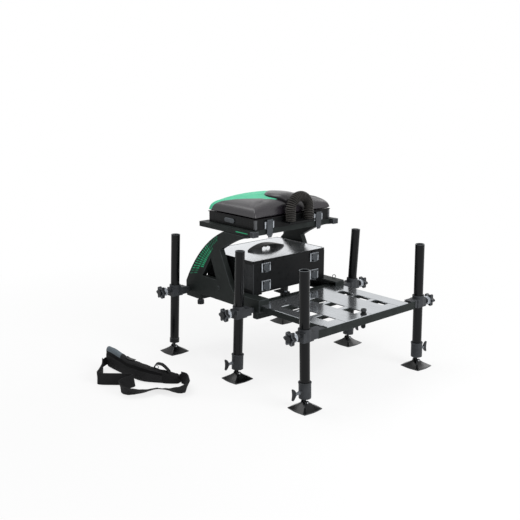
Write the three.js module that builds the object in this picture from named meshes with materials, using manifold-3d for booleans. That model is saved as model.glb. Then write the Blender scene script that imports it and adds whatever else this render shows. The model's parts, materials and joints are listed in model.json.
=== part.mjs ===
// Fishing seat box: a padded seat and a tackle case carried by a cantilever frame on six
// adjustable legs, with a footplate that slides out in front and a carry strap beside it.
// Millimetres, +Z up, the footplate towards -Y. Left is -X, as seen facing the footplate.

import * as THREE from "three";
import { mergeVertices } from "three/addons/utils/BufferGeometryUtils.js";
import Module from "manifold-3d";

const wasm = await Module();
wasm.setup();

// Fits between pieces
const fit = {
  gap: 0.3,
  hingeClearance: 0.7,
  overrun: 5,
  weld: 0.001,
};

// Facets on round shapes
const facets = { round: 24, stem: 16, small: 12, ball: 12, knob: 16, curve: 10 };

// Legs: where they stand, their tubes and what is inside them
const legs = {
  standOff: 75.5,
  rearY: 406,
  middleY: 0,
  frontY: -362,
  tubeRadius: 18,
  tubeWall: 2.5,
  topZ: 493,
  capRecess: 8,
  capThickness: 3,
  footZ: 41,
  collarRadius: 22,
  collarHeight: 57,
  capRadius: 20,
  capHeight: 18,
  plugDepth: 21,
  stemLength: 262,
  stemWall: 2,
  neckRadius: 4.5,
  ballRadius: 7,
  ballZ: 24,
};

// Foot pads: a hollow-sided pyramid with a ball socket
const pads = {
  side: 85,
  bulge: 4.5,
  rim: 3,
  hubRadius: 11,
  hubTopZ: 27,
  socketPlay: 0.8,
  screwRadius: 3.5,
  screwReach: 3,
};
const padRadiusShares = [1, 0.72, 0.46, 0.26];
const padHeightShares = [0, 0.26, 0.56, 0.88];
const padPointsPerSide = 3;

// Leg clamps: a block round the tube, an arm to the frame and a screw boss outboard
const clamps = {
  reach: 24.5,
  halfDepth: 20,
  height: 33.5,
  baseRise: 7,
  footplateDrop: 12.5,
  ringRadius: 23,
  ringHeight: 11,
  barrelInset: 3,
  boreFit: 0.35,
  armHalfDepth: 17,
  armMargin: 2,
  neckLength: 17,
  neckHalfDepth: 12,
  neckMargin: 8,
  lipLength: 25,
  lipThickness: 3,
  slotWidth: 2.4,
  bossRadius: 8,
  bossLength: 16,
  bossRises: [6, -4],
};

// Star knobs on the clamps and wing screws on the collars
const starKnob = { radius: 22, lobes: 6, lobeDepth: 3.8, depth: 30, hubRadius: 12, hubDepth: 4.5 };
const wingScrew = {
  z: 67,
  bossRadius: 7,
  bossLength: 5,
  shankRadius: 5,
  shankLength: 11,
  span: 42,
  depth: 22,
  thickness: 7,
};

// Side frames: base member, curved arm and strut in one plate
const sideFrame = {
  halfWidth: 232,
  thickness: 24,
  frontY: -38,
  rearY: 418,
  bottomZ: 250,
  hornThickness: 4,
  channelWidth: 50,
  channelHeight: 50,
  channelRearY: 380,
  channelWall: 5,
  grooveRearY: 372,
  screwRadius: 8,
  screwHead: 3,
};
// Outline of the arm and strut: shares of the frame's length from its front end, and of its
// height from its underside
const armShares = {
  stepFront: [0.3246, 0.179],
  strutFootFront: [0.3706, 0.272],
  strutHeadFront: [0.5066, 0.733],
  innerControl: [0.298, 0.951],
  hornTip: [0.138, 1],
  topRear: [0.465, 1],
  outerControl: [0.796, 0.754],
  outerFoot: [0.998, 0.143],
  openRear: [0.757, 0.286],
  openTop: [0.633, 0.586],
  openFront: [0.5548, 0.286],
  screw: [0.5285, 0.179],
};

// Base: the cross member below the slide, the rear rail and the lock screw
const base = {
  crossHalfDepth: 12,
  crossSetback: 23,
  crossHeight: 25.7,
  railSide: 30,
  railSetback: 19,
  bracketInset: 34,
  bracketDepth: 92,
  bracketHeight: 22.7,
  lockInset: 14,
  lockSetback: 16,
  lockHeadRadius: 14,
  lockHeadHeight: 17,
  lockNeckRadius: 9,
  lockNeckHeight: 7,
  lockShankRadius: 6,
  lockShankHeight: 20,
};

// Seat frame on top of the arms, with the hinge lugs of the seat
const seatFrame = {
  inset: 5,
  frontY: 0,
  rearY: 326,
  bottomZ: 530,
  thickness: 20,
  memberWidth: 26,
  memberFrontY: 20,
  openingRearY: 268,
};

// Seat unit: shell with its side drawer, cushion, hoop and latches
const seat = {
  halfWidth: 200,
  frontY: 20,
  rearY: 300,
  height: 42.2,
  wall: 6,
  edgeChamfer: 4,
};
const drawer = {
  frontY: 52,
  rearY: 266,
  length: 300,
  bottomMargin: 6,
  topMargin: 6,
  wall: 3,
  faceThickness: 5,
  side: 0.5,
  pullY: 168,
  pullLength: 56,
  pullHeight: 17,
  pullReach: 4,
};
const cushion = {
  overhang: 1,
  band: 9,
  crown: 47,
  drawIn: 4,
  pommelRise: 15,
  pommelHalfWidth: 92,
  pommelHalfDepth: 120,
  pommelY: 60,
};
const cushionCells = { across: 24, along: 18 };
// How square the crown stays towards the sides, the front and the rear
const crownExponents = { side: 4, front: 2.8, rear: 5 };

// Ribbed hoop in front of the seat
const hoop = {
  x: 7,
  y: -5,
  tubeRadius: 20,
  ribDepth: 2.4,
  boreRadius: 11,
  bend: 48,
  footDrop: 20.5,
  legHeight: 44,
  bracket: 5,
};
const hoopRibs = { count: 34, points: 8, boreStep: 5 };

// Hinges of the seat and of the case lid
const seatHinge = {
  spacing: 130,
  radius: 6.5,
  pinRadius: 2.5,
  width: 24,
  lugWidth: 8,
  offset: 7.5,
  height: 8,
  webHalf: 3,
};
const lidHinge = {
  spacing: 120,
  radius: 5,
  pinRadius: 2,
  width: 22,
  lugWidth: 7,
  offset: 6,
  webHalf: 2.5,
};

// Tackle case
const tackle = {
  halfWidth: 194,
  frontY: 38,
  rearY: 324,
  bodyHeight: 118,
  lidHeight: 11,
  wall: 4,
  cornerCut: 3,
  lidWall: 3,
  postWidth: 62,
  postReach: 1.5,
  keelDrop: 6.5,
  keelPlay: 0.6,
  keelWidth: 32,
  rim: 5,
  rimDepth: 2,
};
const carryHandle = {
  length: 196,
  width: 44,
  rise: 23,
  gripThickness: 9,
  openingLength: 78,
  padThickness: 4,
};

// Draw latches
const latch = {
  spacing: 131,
  baseEdgeRise: 53,
  plateWidth: 46,
  plateThickness: 2,
  leverWidth: 28,
  leverThickness: 3,
  barrelRadius: 3.2,
  standOff: 5.5,
  earThickness: 3,
  tabWidth: 16,
  tabReach: 4,
  tabHeight: 9,
  keeperHeight: 8,
  keeperReach: 5,
};
// How far below the top of their plate the plates reach, and below their pivot the levers
const seatLatch = { margin: 3.5, pivotDrop: 5, plateHeight: 33, leverLength: 66 };
const lidLatch = { margin: 2, pivotDrop: 6, plateHeight: 36, leverLength: 31 };
const baseLatch = { margin: 6, pivotDrop: 6, plateHeight: 41, leverLength: 38 };

// Footplate: rails, deck with its openings, case stop and accessory spigot
const footplate = {
  railSide: 30,
  rise: 26,
  frontRailReach: 31,
  deckThickness: 3,
  deckInset: 12,
  deckRearSetback: 17,
  runnerPlay: 10,
  rearRailDrop: 20,
  runnerWidth: 28,
  runnerDrop: 20,
  stiffenerThickness: 3,
  stiffenerDrop: 15,
};
// Openings of the deck: three columns across and three rows along, as shares of the deck
const deckColumnShares = [[0.109, 0.203], [0.422, 0.518], [0.781, 0.862]];
const deckRowShares = [[0.117, 0.302], [0.353, 0.561], [0.6, 0.783]];
const caseStop = {
  x: -58.5,
  width: 37,
  thickness: 8,
  flangeReach: 46,
  flangeThickness: 4,
  knobRadius: 6,
  knobLength: 6,
};
const spigot = {
  x: -16,
  radius: 8.5,
  play: 0.4,
  drop: 50,
  rise: 20,
  boreRadius: 5.5,
  boreDepth: 14,
  flange: 3.5,
};

// Carry strap: a long pad on its edge and the webbing looped in front of it
const strap = {
  originX: -760,
  reach: 500,
  padHeight: 88,
  padThickness: 28,
  webbingHeight: 46,
  webbingThickness: 3,
};
// Plan of the pad's centre line, in shares of the reach from the origin, with the pad's height
// and thickness along it, in shares of the largest
const padPlanShares = [
  [0.318, 0.88],
  [0.316, 0.85],
  [0.316, 0.77],
  [0.32, 0.662],
  [0.326, 0.57],
  [0.336, 0.48],
  [0.356, 0.416],
  [0.396, 0.36],
  [0.434, 0.312],
  [0.476, 0.264],
  [0.512, 0.228],
  [0.534, 0.208],
];
const padTallShares = [0.84, 0.92, 1, 1, 0.96, 0.91, 0.84, 0.73, 0.64, 0.56, 0.48, 0.41];
const padThickShares = [0.7, 0.95, 1, 1, 1, 1, 1, 1, 0.96, 0.86, 0.57, 0.22];
const padRingPoints = 12;
const padRingPower = 0.65;
// Plan of the webbing, which stands on its edge
const webbingShares = [
  [0.248, 0.848],
  [0.184, 0.744],
  [0.11, 0.66],
  [0.064, 0.612],
  [0.076, 0.576],
  [0.12, 0.532],
  [0.17, 0.486],
  [0.216, 0.444],
  [0.244, 0.414],
  [0.236, 0.39],
  [0.184, 0.384],
  [0.12, 0.374],
  [0.094, 0.332],
  [0.098, 0.276],
  [0.132, 0.24],
  [0.176, 0.218],
  [0.228, 0.204],
  [0.28, 0.204],
  [0.32, 0.196],
  [0.344, 0.156],
  [0.36, 0.096],
  [0.388, 0.048],
  [0.424, 0.03],
  [0.464, 0.036],
  [0.504, 0.088],
  [0.54, 0.152],
  [0.5372, 0.2072],
];

const LEFT = -1;
const RIGHT = 1;
const sides = [["left", LEFT], ["right", RIGHT]];

// Widths that follow from the side frames
const legTrack = sideFrame.halfWidth + legs.standOff;
const innerFace = sideFrame.halfWidth - sideFrame.thickness;
const channelX = sideFrame.halfWidth - sideFrame.channelWidth;
const seatFrameHalfWidth = sideFrame.halfWidth - seatFrame.inset;
const deckHalfWidth = sideFrame.halfWidth - footplate.deckInset;
const rearRailHalfWidth = sideFrame.halfWidth - footplate.runnerPlay;
const frontRailHalfWidth = sideFrame.halfWidth + footplate.frontRailReach;
const lockX = base.lockInset - sideFrame.halfWidth;

// Places along the object
const frontRailY = legs.frontY;
const rearRailY = legs.middleY;
const deckFrontY = frontRailY - footplate.railSide / 2;
const deckRearY = rearRailY - footplate.deckRearSetback;
const crossY = sideFrame.frontY + base.crossSetback;
const baseRailY = sideFrame.rearY - base.railSetback;
const bracketRearY = baseRailY + base.railSide / 2;
const bracketFrontY = bracketRearY - base.bracketDepth;
const lockY = bracketFrontY + base.lockSetback;
const hingeY = seat.rearY + seatHinge.offset;
const lidPivotY = tackle.rearY + lidHinge.offset;

// Heights, from the underside of the base
const caseBottomZ = sideFrame.bottomZ + sideFrame.channelHeight;
const flangeTopZ = caseBottomZ - fit.gap;
const seamZ = caseBottomZ + tackle.bodyHeight;
const caseTopZ = seamZ + tackle.lidHeight;
const railTopZ = sideFrame.bottomZ + footplate.rise;
const deckTopZ = railTopZ + footplate.deckThickness;
const baseClampZ = sideFrame.bottomZ + clamps.baseRise;
const footplateClampZ = railTopZ - clamps.footplateDrop;
const underZ = sideFrame.bottomZ - fit.gap;
const bracketBottomZ = underZ - base.bracketHeight;
const armTopZ = seatFrame.bottomZ - fit.gap;
const seatBottomZ = seatFrame.bottomZ + seatFrame.thickness + fit.gap;
const seatTopZ = seatBottomZ + seat.height;
const hingeZ = seatBottomZ + seatHinge.height;
const hoopFootZ = seatTopZ - hoop.footDrop;
const hoopArchZ = hoopFootZ + hoop.legHeight;

// Where a latch's plate and lever are, from the height of the edge that it hangs from
function latchPlace({ margin, pivotDrop, plateHeight, leverLength }, edgeZ) {
  const plateTopZ = edgeZ - margin;
  const pivotZ = plateTopZ - pivotDrop;
  return { plateTopZ, pivotZ, plateBottomZ: plateTopZ - plateHeight, leverEndZ: pivotZ - leverLength };
}
const seatLatchPlace = latchPlace(seatLatch, seatTopZ);
const lidLatchPlace = latchPlace(lidLatch, seamZ);
const baseLatchPlace = latchPlace(baseLatch, caseBottomZ + latch.baseEdgeRise);

// Finishes
function finish(color, roughness, metalness) {
  return { color, roughness, metalness };
}
const finishes = {
  tube: finish(0x2c3231, 0.38, 0.7),
  casting: finish(0x30383a, 0.55, 0.3),
  knob: finish(0x23282a, 0.5, 0.1),
  frame: finish(0x2a302f, 0.5, 0.5),
  plate: finish(0xa9aeb2, 0.35, 0.9),
  shell: finish(0x16191a, 0.45, 0.1),
  lid: finish(0xc3c8ca, 0.4, 0.8),
  leather: finish(0x2d2a30, 0.45, 0),
  rubber: finish(0x1b1b1b, 0.8, 0),
  latch: finish(0x4c5457, 0.45, 0.3),
  steel: finish(0x8a8f92, 0.35, 0.9),
  pad: finish(0x202324, 0.55, 0.1),
  strap: finish(0x1c1c1d, 0.9, 0),
};

const model = new THREE.Group();

// Geometry to solid and back

function solidOf(geometry) {
  const loose = geometry.index ? geometry.toNonIndexed() : geometry;
  const bare = new THREE.BufferGeometry();
  bare.setAttribute("position", loose.getAttribute("position"));
  const merged = mergeVertices(bare, fit.weld);
  const mesh = new wasm.Mesh({
    numProp: 3,
    vertProperties: merged.attributes.position.array,
    triVerts: new Uint32Array(merged.index.array),
  });
  return new wasm.Manifold(mesh);
}

function geometryOf(solid) {
  const mesh = solid.getMesh();
  const geometry = new THREE.BufferGeometry();
  geometry.setAttribute("position", new THREE.BufferAttribute(mesh.vertProperties, mesh.numProp));
  geometry.setIndex(new THREE.BufferAttribute(mesh.triVerts, 1));
  geometry.computeVertexNormals();
  return geometry;
}

function addPiece(name, solid, look, leg = null) {
  const geometry = geometryOf(solid);
  if (leg) leaned(geometry, leg);
  const mesh = new THREE.Mesh(geometry, new THREE.MeshStandardMaterial(look));
  mesh.name = name;
  model.add(mesh);
}

// Turns a shape about the ball of a leg's foot, by the leg's lean
function leaned(geometry, { x, y, lean }) {
  geometry.translate(-x, -y, -legs.ballZ);
  geometry.rotateY(THREE.MathUtils.degToRad(lean));
  geometry.translate(x, y, legs.ballZ);
  return geometry;
}

// Shapes

function block([x0, x1], [y0, y1], [z0, z1]) {
  const geometry = new THREE.BoxGeometry(Math.abs(x1 - x0), Math.abs(y1 - y0), Math.abs(z1 - z0));
  geometry.translate((x0 + x1) / 2, (y0 + y1) / 2, (z0 + z1) / 2);
  return solidOf(geometry);
}

function rodShape(axis, radius, [from, to], [a, b], count = facets.round) {
  const geometry = new THREE.CylinderGeometry(radius, radius, Math.abs(to - from), count);
  const middle = (from + to) / 2;
  if (axis === "x") geometry.rotateZ(Math.PI / 2).translate(middle, a, b);
  if (axis === "y") geometry.translate(a, middle, b);
  if (axis === "z") geometry.rotateX(Math.PI / 2).translate(a, b, middle);
  return geometry;
}

function rod(...shape) {
  return solidOf(rodShape(...shape));
}

function ball(radius, [x, y, z], count = facets.ball) {
  const geometry = new THREE.SphereGeometry(radius, count, count / 2);
  geometry.rotateX(Math.PI / 2).translate(x, y, z);
  return solidOf(geometry);
}

// A profile of [radius, z] points, from the bottom up, turned about a vertical axis
function turned(profile, [x, y], count = facets.round) {
  const points = profile.map(([radius, z]) => new THREE.Vector2(radius, z));
  const geometry = new THREE.LatheGeometry(points, count);
  geometry.rotateX(Math.PI / 2).translate(x, y, 0);
  return solidOf(geometry);
}

// The outline of closed shapes: its points are [y, z] along x, [x, z] along y, [x, y] along z
function prism(shape, axis, [from, to]) {
  const low = Math.min(from, to);
  const high = Math.max(from, to);
  const options = { depth: high - low, bevelEnabled: false, curveSegments: facets.curve };
  const geometry = new THREE.ExtrudeGeometry(shape, options);
  const unitX = new THREE.Vector3(1, 0, 0);
  const unitY = new THREE.Vector3(0, 1, 0);
  const unitZ = new THREE.Vector3(0, 0, 1);
  const turn = new THREE.Matrix4();
  if (axis === "x") geometry.applyMatrix4(turn.makeBasis(unitY, unitZ, unitX)).translate(low, 0, 0);
  if (axis === "y") {
    geometry.applyMatrix4(turn.makeBasis(unitX, unitZ, unitY.negate())).translate(0, high, 0);
  }
  if (axis === "z") geometry.translate(0, 0, low);
  return solidOf(geometry);
}

function outline(points) {
  return new THREE.Shape(points.map(([a, b]) => new THREE.Vector2(a, b)));
}

function around(centre, half) {
  return [centre - half, centre + half];
}

function joined(...solids) {
  return solids.reduce((sum, next) => sum.add(next));
}

function cut(solid, ...tools) {
  return tools.reduce((rest, tool) => rest.subtract(tool), solid);
}

// Ball, neck and the step out to a given radius, as the lower part of a turned profile
function ballProfile(radius) {
  const neckAngle = Math.asin(legs.neckRadius / legs.ballRadius);
  const steps = facets.ball / 2;
  const points = [];
  for (let i = 0; i < steps; i++) {
    const angle = ((Math.PI - neckAngle) * i) / (steps - 1);
    points.push([legs.ballRadius * Math.sin(angle), legs.ballZ - legs.ballRadius * Math.cos(angle)]);
  }
  points[0][0] = 0;
  points.push([legs.neckRadius, legs.footZ]);
  points.push([radius, legs.footZ]);
  return points;
}

// Legs

function legTube(leg) {
  const { place, x, y, side, telescopic } = leg;
  const bottomZ = telescopic ? legs.footZ : legs.footZ + legs.capHeight + fit.gap;
  let tube = rod("z", legs.tubeRadius, [bottomZ, legs.topZ], [x, y]);
  if (telescopic) {
    const collarTopZ = legs.footZ + legs.collarHeight;
    const bossEnd = x + side * (legs.collarRadius + wingScrew.bossLength);
    tube = joined(
      tube,
      rod("z", legs.collarRadius, [legs.footZ, collarTopZ], [x, y]),
      rod("x", wingScrew.bossRadius, [x, bossEnd], [y, wingScrew.z], facets.small),
    );
  }
  const boreRadius = legs.tubeRadius - legs.tubeWall;
  const recessZ = legs.topZ - legs.capRecess;
  const bore = rod("z", boreRadius, [legs.footZ - fit.overrun, recessZ - legs.capThickness], [x, y]);
  const recess = rod("z", boreRadius, [recessZ, legs.topZ + fit.overrun], [x, y]);
  addPiece(`${place}_leg_tube`, cut(tube, bore, recess), finishes.tube, leg);
}

function telescopicStem(leg) {
  const radius = legs.tubeRadius - legs.tubeWall - fit.gap;
  const bore = radius - legs.stemWall;
  const topZ = legs.footZ + legs.stemLength;
  const floorZ = legs.footZ + legs.capHeight;
  const profile = [...ballProfile(radius), [radius, topZ], [bore, topZ], [bore, floorZ], [0, floorZ]];
  addPiece(`${leg.place}_leg_stem`, turned(profile, [leg.x, leg.y], facets.stem), finishes.steel, leg);
}

function endPlug(leg) {
  const radius = legs.tubeRadius - legs.tubeWall - fit.gap;
  const shoulderZ = legs.footZ + legs.capHeight;
  const profile = [
    ...ballProfile(legs.capRadius),
    [legs.capRadius, shoulderZ],
    [radius, shoulderZ],
    [radius, shoulderZ + legs.plugDepth],
    [0, shoulderZ + legs.plugDepth],
  ];
  addPiece(`${leg.place}_leg_plug`, turned(profile, [leg.x, leg.y], facets.stem), finishes.casting, leg);
}

// A ring of the pad: a square whose sides bulge outwards, at a share of the pad's size
function padRing(x, y, z, share) {
  const half = (share * pads.side) / 2;
  const ring = [];
  for (let k = 0; k < 4 * padPointsPerSide; k++) {
    const turn = ((k % padPointsPerSide) / padPointsPerSide - 1 / 2) * (Math.PI / 2);
    const flat = (Math.cos(turn) * Math.SQRT2 - 1) / (Math.SQRT2 - 1);
    const radius = half / Math.cos(turn) + share * pads.bulge * flat;
    const angle = turn + Math.floor(k / padPointsPerSide) * (Math.PI / 2);
    ring.push([x + radius * Math.cos(angle), y + radius * Math.sin(angle), z]);
  }
  return ring;
}

// Faces between rings of points, from the bottom up, with a cap on the first and the last
function ringedFaces(rings) {
  const count = rings[0].length;
  const faces = [];
  for (let r = 0; r < rings.length - 1; r++) {
    const [here, above] = [r * count, (r + 1) * count];
    for (let k = 0; k < count; k++) {
      const next = (k + 1) % count;
      faces.push([here + k, here + next, above + next]);
      faces.push([here + k, above + next, above + k]);
    }
  }
  const last = (rings.length - 1) * count;
  for (let k = 1; k < count - 1; k++) {
    faces.push([0, k + 1, k]);
    faces.push([last, last + k, last + k + 1]);
  }
  return faces;
}

function footPad({ place, x, y }) {
  const rise = pads.hubTopZ - pads.rim;
  const rings = [padRing(x, y, 0, padRadiusShares[0])];
  padRadiusShares.forEach((share, i) => {
    rings.push(padRing(x, y, pads.rim + padHeightShares[i] * rise, share));
  });
  const body = solidOf(meshGeometry(rings.flat(), ringedFaces(rings)));
  const hub = rod("z", pads.hubRadius, [pads.rim, pads.hubTopZ], [x, y], facets.ball);
  const screwHalf = pads.hubRadius + pads.screwReach;
  const screwZ = legs.ballZ - pads.screwRadius;
  const screw = rod("y", pads.screwRadius, around(y, screwHalf), [x, screwZ], facets.small);
  const socket = ball(legs.ballRadius + pads.socketPlay, [x, y, legs.ballZ]);
  addPiece(`${place}_foot_pad`, cut(joined(body, hub, screw), socket), finishes.pad);
}

// Clamps and their knobs

// How far the axis of a leaning leg is from its foot's, at the height of its clamp
function clampX({ x, lean, clampZ }) {
  return x + (clampZ - legs.ballZ) * Math.tan(THREE.MathUtils.degToRad(lean));
}

function legClamp(leg) {
  const { place, x, y, side, clampZ, railX, onRail } = leg;
  const centreX = clampX(leg);
  const outerX = centreX + side * clamps.reach;
  const depth = around(y, clamps.halfDepth);
  const [bottomZ, topZ] = around(clampZ, clamps.height / 2);
  const armZ = around(clampZ, clamps.height / 2 - clamps.armMargin);
  const neckZ = around(clampZ, clamps.height / 2 - clamps.neckMargin);
  const bossZ = clampZ + leg.bossRise;
  const armX = side * (railX + (onRail ? 0 : clamps.neckLength) + fit.gap);
  const barrelZ = [bottomZ + clamps.barrelInset, topZ + clamps.ringHeight];
  const parts = [
    block(around(centreX, clamps.reach), depth, [bottomZ, topZ]),
    block([centreX, armX], around(y, clamps.armHalfDepth), armZ),
    rod("x", clamps.bossRadius, [centreX, outerX + side * clamps.bossLength], [y, bossZ], facets.small),
    solidOf(leaned(rodShape("z", clamps.ringRadius, barrelZ, [x, y]), leg)),
  ];
  if (onRail) {
    const lipZ = [topZ - clamps.lipThickness, topZ];
    const lipX = [centreX, side * (railX - clamps.lipLength)];
    parts.push(block(lipX, around(y, clamps.armHalfDepth), lipZ));
  } else {
    const neckX = [armX + side * fit.overrun, side * (railX + fit.gap)];
    parts.push(block(neckX, around(y, clamps.neckHalfDepth), neckZ));
  }
  const low = bottomZ - fit.overrun;
  const high = topZ + clamps.ringHeight + fit.overrun;
  const bore = solidOf(leaned(rodShape("z", legs.tubeRadius + clamps.boreFit, [low, high], [x, y]), leg));
  const slotX = [centreX, outerX + side * fit.overrun];
  const slot = block(slotX, around(y, clamps.slotWidth / 2), [low, bossZ - clamps.bossRadius]);
  addPiece(`${place}_leg_clamp`, cut(joined(...parts), bore, slot), finishes.casting);
}

function starOutline(y, z) {
  const count = starKnob.lobes * facets.small / 2;
  const points = [];
  for (let i = 0; i < count; i++) {
    const angle = (2 * Math.PI * i) / count;
    const wave = Math.cos(starKnob.lobes * angle);
    const radius = starKnob.radius + starKnob.lobeDepth * wave;
    points.push([y + radius * Math.cos(angle), z + radius * Math.sin(angle)]);
  }
  return outline(points);
}

function clampKnob(leg) {
  const { place, y, side, clampZ } = leg;
  const z = clampZ + leg.bossRise;
  const startX = clampX(leg) + side * (clamps.reach + clamps.bossLength + fit.gap);
  const headX = startX + side * starKnob.hubDepth;
  const endX = headX + side * starKnob.depth;
  const faceX = endX + side * starKnob.hubDepth;
  const knob = joined(
    prism(starOutline(y, z), "x", [headX, endX]),
    rod("x", starKnob.hubRadius, [startX, faceX], [y, z], facets.knob),
  );
  addPiece(`${place}_clamp_knob`, knob, finishes.knob);
}

function stemKnob(leg) {
  const { place, x, y, side } = leg;
  const startX = x + side * (legs.collarRadius + wingScrew.bossLength + fit.gap);
  const wingX = startX + side * wingScrew.shankLength;
  const endX = wingX + side * wingScrew.depth;
  const half = wingScrew.span / 2;
  const corners = [
    [wingX, wingScrew.z - half / 2],
    [endX, wingScrew.z - half],
    [endX, wingScrew.z + half],
    [wingX, wingScrew.z + half / 2],
  ];
  const screw = joined(
    prism(outline(corners), "y", around(y, wingScrew.thickness / 2)),
    rod("x", wingScrew.shankRadius, [startX, (wingX + endX) / 2], [y, wingScrew.z], facets.small),
  );
  addPiece(`${place}_stem_knob`, screw, finishes.knob, leg);
}

// Base and arms

function framePoint([alongShare, upShare]) {
  const y = sideFrame.frontY + alongShare * (sideFrame.rearY - sideFrame.frontY);
  const z = sideFrame.bottomZ + upShare * (armTopZ - sideFrame.bottomZ);
  return [y, z];
}

function sideOutline() {
  const places = Object.entries(armShares).map(([name, pair]) => [name, framePoint(pair)]);
  const at = Object.fromEntries(places);
  const shape = new THREE.Shape();
  shape.moveTo(sideFrame.rearY, sideFrame.bottomZ);
  shape.lineTo(...at.outerFoot);
  shape.quadraticCurveTo(...at.outerControl, ...at.topRear);
  shape.lineTo(...at.hornTip);
  shape.lineTo(at.hornTip[0], armTopZ - sideFrame.hornThickness);
  shape.quadraticCurveTo(...at.innerControl, ...at.strutHeadFront);
  shape.lineTo(...at.strutFootFront);
  shape.lineTo(at.stepFront[0], flangeTopZ);
  shape.lineTo(sideFrame.frontY, flangeTopZ);
  shape.lineTo(sideFrame.frontY, sideFrame.bottomZ);
  shape.closePath();
  const opening = new THREE.Path();
  opening.moveTo(...at.openRear);
  opening.lineTo(...at.openTop);
  opening.lineTo(...at.openFront);
  opening.closePath();
  shape.holes.push(opening);
  return shape;
}

// Arm, strut and base member in one: the base member is a channel, open inwards, for the slide
function sideFramePiece(name, side) {
  const outerX = side * sideFrame.halfWidth;
  const innerX = side * innerFace;
  const [screwY, screwZ] = framePoint(armShares.screw);
  const member = block(
    [side * channelX, outerX],
    [sideFrame.frontY, sideFrame.channelRearY],
    [sideFrame.bottomZ, flangeTopZ],
  );
  const screwX = [innerX, outerX + side * sideFrame.screwHead];
  const screw = rod("x", sideFrame.screwRadius, screwX, [screwY, screwZ], facets.small);
  const frame = joined(prism(sideOutline(), "x", [innerX, outerX]), member, screw);
  const grooveX = [side * (channelX - fit.overrun), side * (sideFrame.halfWidth - sideFrame.channelWall)];
  const grooveY = [sideFrame.frontY - fit.overrun, sideFrame.grooveRearY];
  const grooveZ = [sideFrame.bottomZ + sideFrame.channelWall, flangeTopZ - sideFrame.channelWall];
  addPiece(`${name}_side_frame`, cut(frame, block(grooveX, grooveY, grooveZ)), finishes.frame);
}

function baseFrontCross() {
  const depth = around(crossY, base.crossHalfDepth);
  const span = [-sideFrame.halfWidth, sideFrame.halfWidth];
  const cross = block(span, depth, [underZ - base.crossHeight, underZ]);
  addPiece("base_front_cross", cross, finishes.frame);
}

function baseRearRail() {
  const half = innerFace - fit.gap;
  const depth = around(baseRailY, base.railSide / 2);
  const topZ = sideFrame.bottomZ + base.railSide;
  const rail = block([-half, half], depth, [sideFrame.bottomZ, topZ]);
  const plateZ = [bracketBottomZ, underZ];
  const parts = [rail];
  for (const [, side] of sides) {
    const inner = side * (half - base.bracketInset);
    parts.push(block([inner, side * half], depth, [bracketBottomZ, sideFrame.bottomZ + fit.overrun]));
    parts.push(block([inner, side * sideFrame.halfWidth], [bracketFrontY, bracketRearY], plateZ));
  }
  const holeZ = [bracketBottomZ - fit.overrun, sideFrame.bottomZ];
  const hole = rod("z", base.lockShankRadius + fit.gap, holeZ, [lockX, lockY], facets.knob);
  addPiece("base_rear_rail", cut(joined(...parts), hole), finishes.frame);
}

// The lock screw of the slide goes up through the rear rail's left bracket
function slideLockKnob() {
  const neckTopZ = bracketBottomZ - fit.gap;
  const headTopZ = neckTopZ - base.lockNeckHeight;
  const bottomZ = headTopZ - base.lockHeadHeight;
  const topZ = neckTopZ + base.lockShankHeight;
  const profile = [
    [0, bottomZ],
    [base.lockHeadRadius, bottomZ],
    [base.lockHeadRadius, headTopZ],
    [base.lockNeckRadius, headTopZ],
    [base.lockNeckRadius, neckTopZ],
    [base.lockShankRadius - fit.gap, neckTopZ],
    [base.lockShankRadius - fit.gap, topZ],
    [0, topZ],
  ];
  addPiece("slide_lock_knob", turned(profile, [lockX, lockY], facets.knob), finishes.knob);
}

// Two lugs with a pin between them at each hinge place
function hingeLugs(hinge, y, z, floorZ, wallY) {
  return sides.flatMap(([, side]) => {
    const centre = side * hinge.spacing;
    const inner = hinge.width / 2 + fit.gap;
    const outer = inner + hinge.lugWidth;
    const lugs = sides.flatMap(([, hand]) => {
      const span = [centre + hand * inner, centre + hand * outer];
      const foot = block(span, [wallY, y + hinge.radius], [floorZ, z]);
      return [foot, rod("x", hinge.radius, span, [y, z], facets.small)];
    });
    const pin = rod("x", hinge.pinRadius, around(centre, inner + hinge.lugWidth / 2), [y, z], facets.small);
    return [...lugs, pin];
  });
}

// The turning knuckle of each hinge place: a barrel on a web, bored for the pin
function hingeKnuckles(hinge, y, z, wallY) {
  return sides.map(([, side]) => {
    const span = around(side * hinge.spacing, hinge.width / 2);
    const boreSpan = around(side * hinge.spacing, hinge.width / 2 + fit.overrun);
    const barrel = rod("x", hinge.radius, span, [y, z], facets.small);
    const web = block(span, [wallY, y], around(z, hinge.webHalf));
    const bore = rod("x", hinge.pinRadius + fit.hingeClearance, boreSpan, [y, z], facets.small);
    return { solid: joined(barrel, web), bore };
  });
}

function seatFramePiece() {
  const { frontY, rearY, bottomZ, thickness, memberWidth, memberFrontY, openingRearY } = seatFrame;
  const halfWidth = seatFrameHalfWidth;
  const topZ = bottomZ + thickness;
  const frameZ = [bottomZ, topZ];
  const slab = block([-halfWidth, halfWidth], [memberFrontY, rearY], frameZ);
  const openHalf = halfWidth - memberWidth;
  const openZ = [bottomZ - fit.overrun, topZ + fit.overrun];
  const opening = block([-openHalf, openHalf], [memberFrontY + memberWidth, openingRearY], openZ);
  const endsY = [frontY, memberFrontY + fit.overrun];
  const ends = sides.map(([, side]) => block([side * openHalf, side * halfWidth], endsY, frameZ));
  const lugFloorZ = topZ - fit.overrun;
  const lugWallY = seat.rearY + fit.hingeClearance;
  const lugs = hingeLugs(seatHinge, hingeY, hingeZ, lugFloorZ, lugWallY);
  addPiece("seat_frame", joined(cut(slab, opening), ...ends, ...lugs), finishes.frame);
}

// Seat unit

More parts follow.
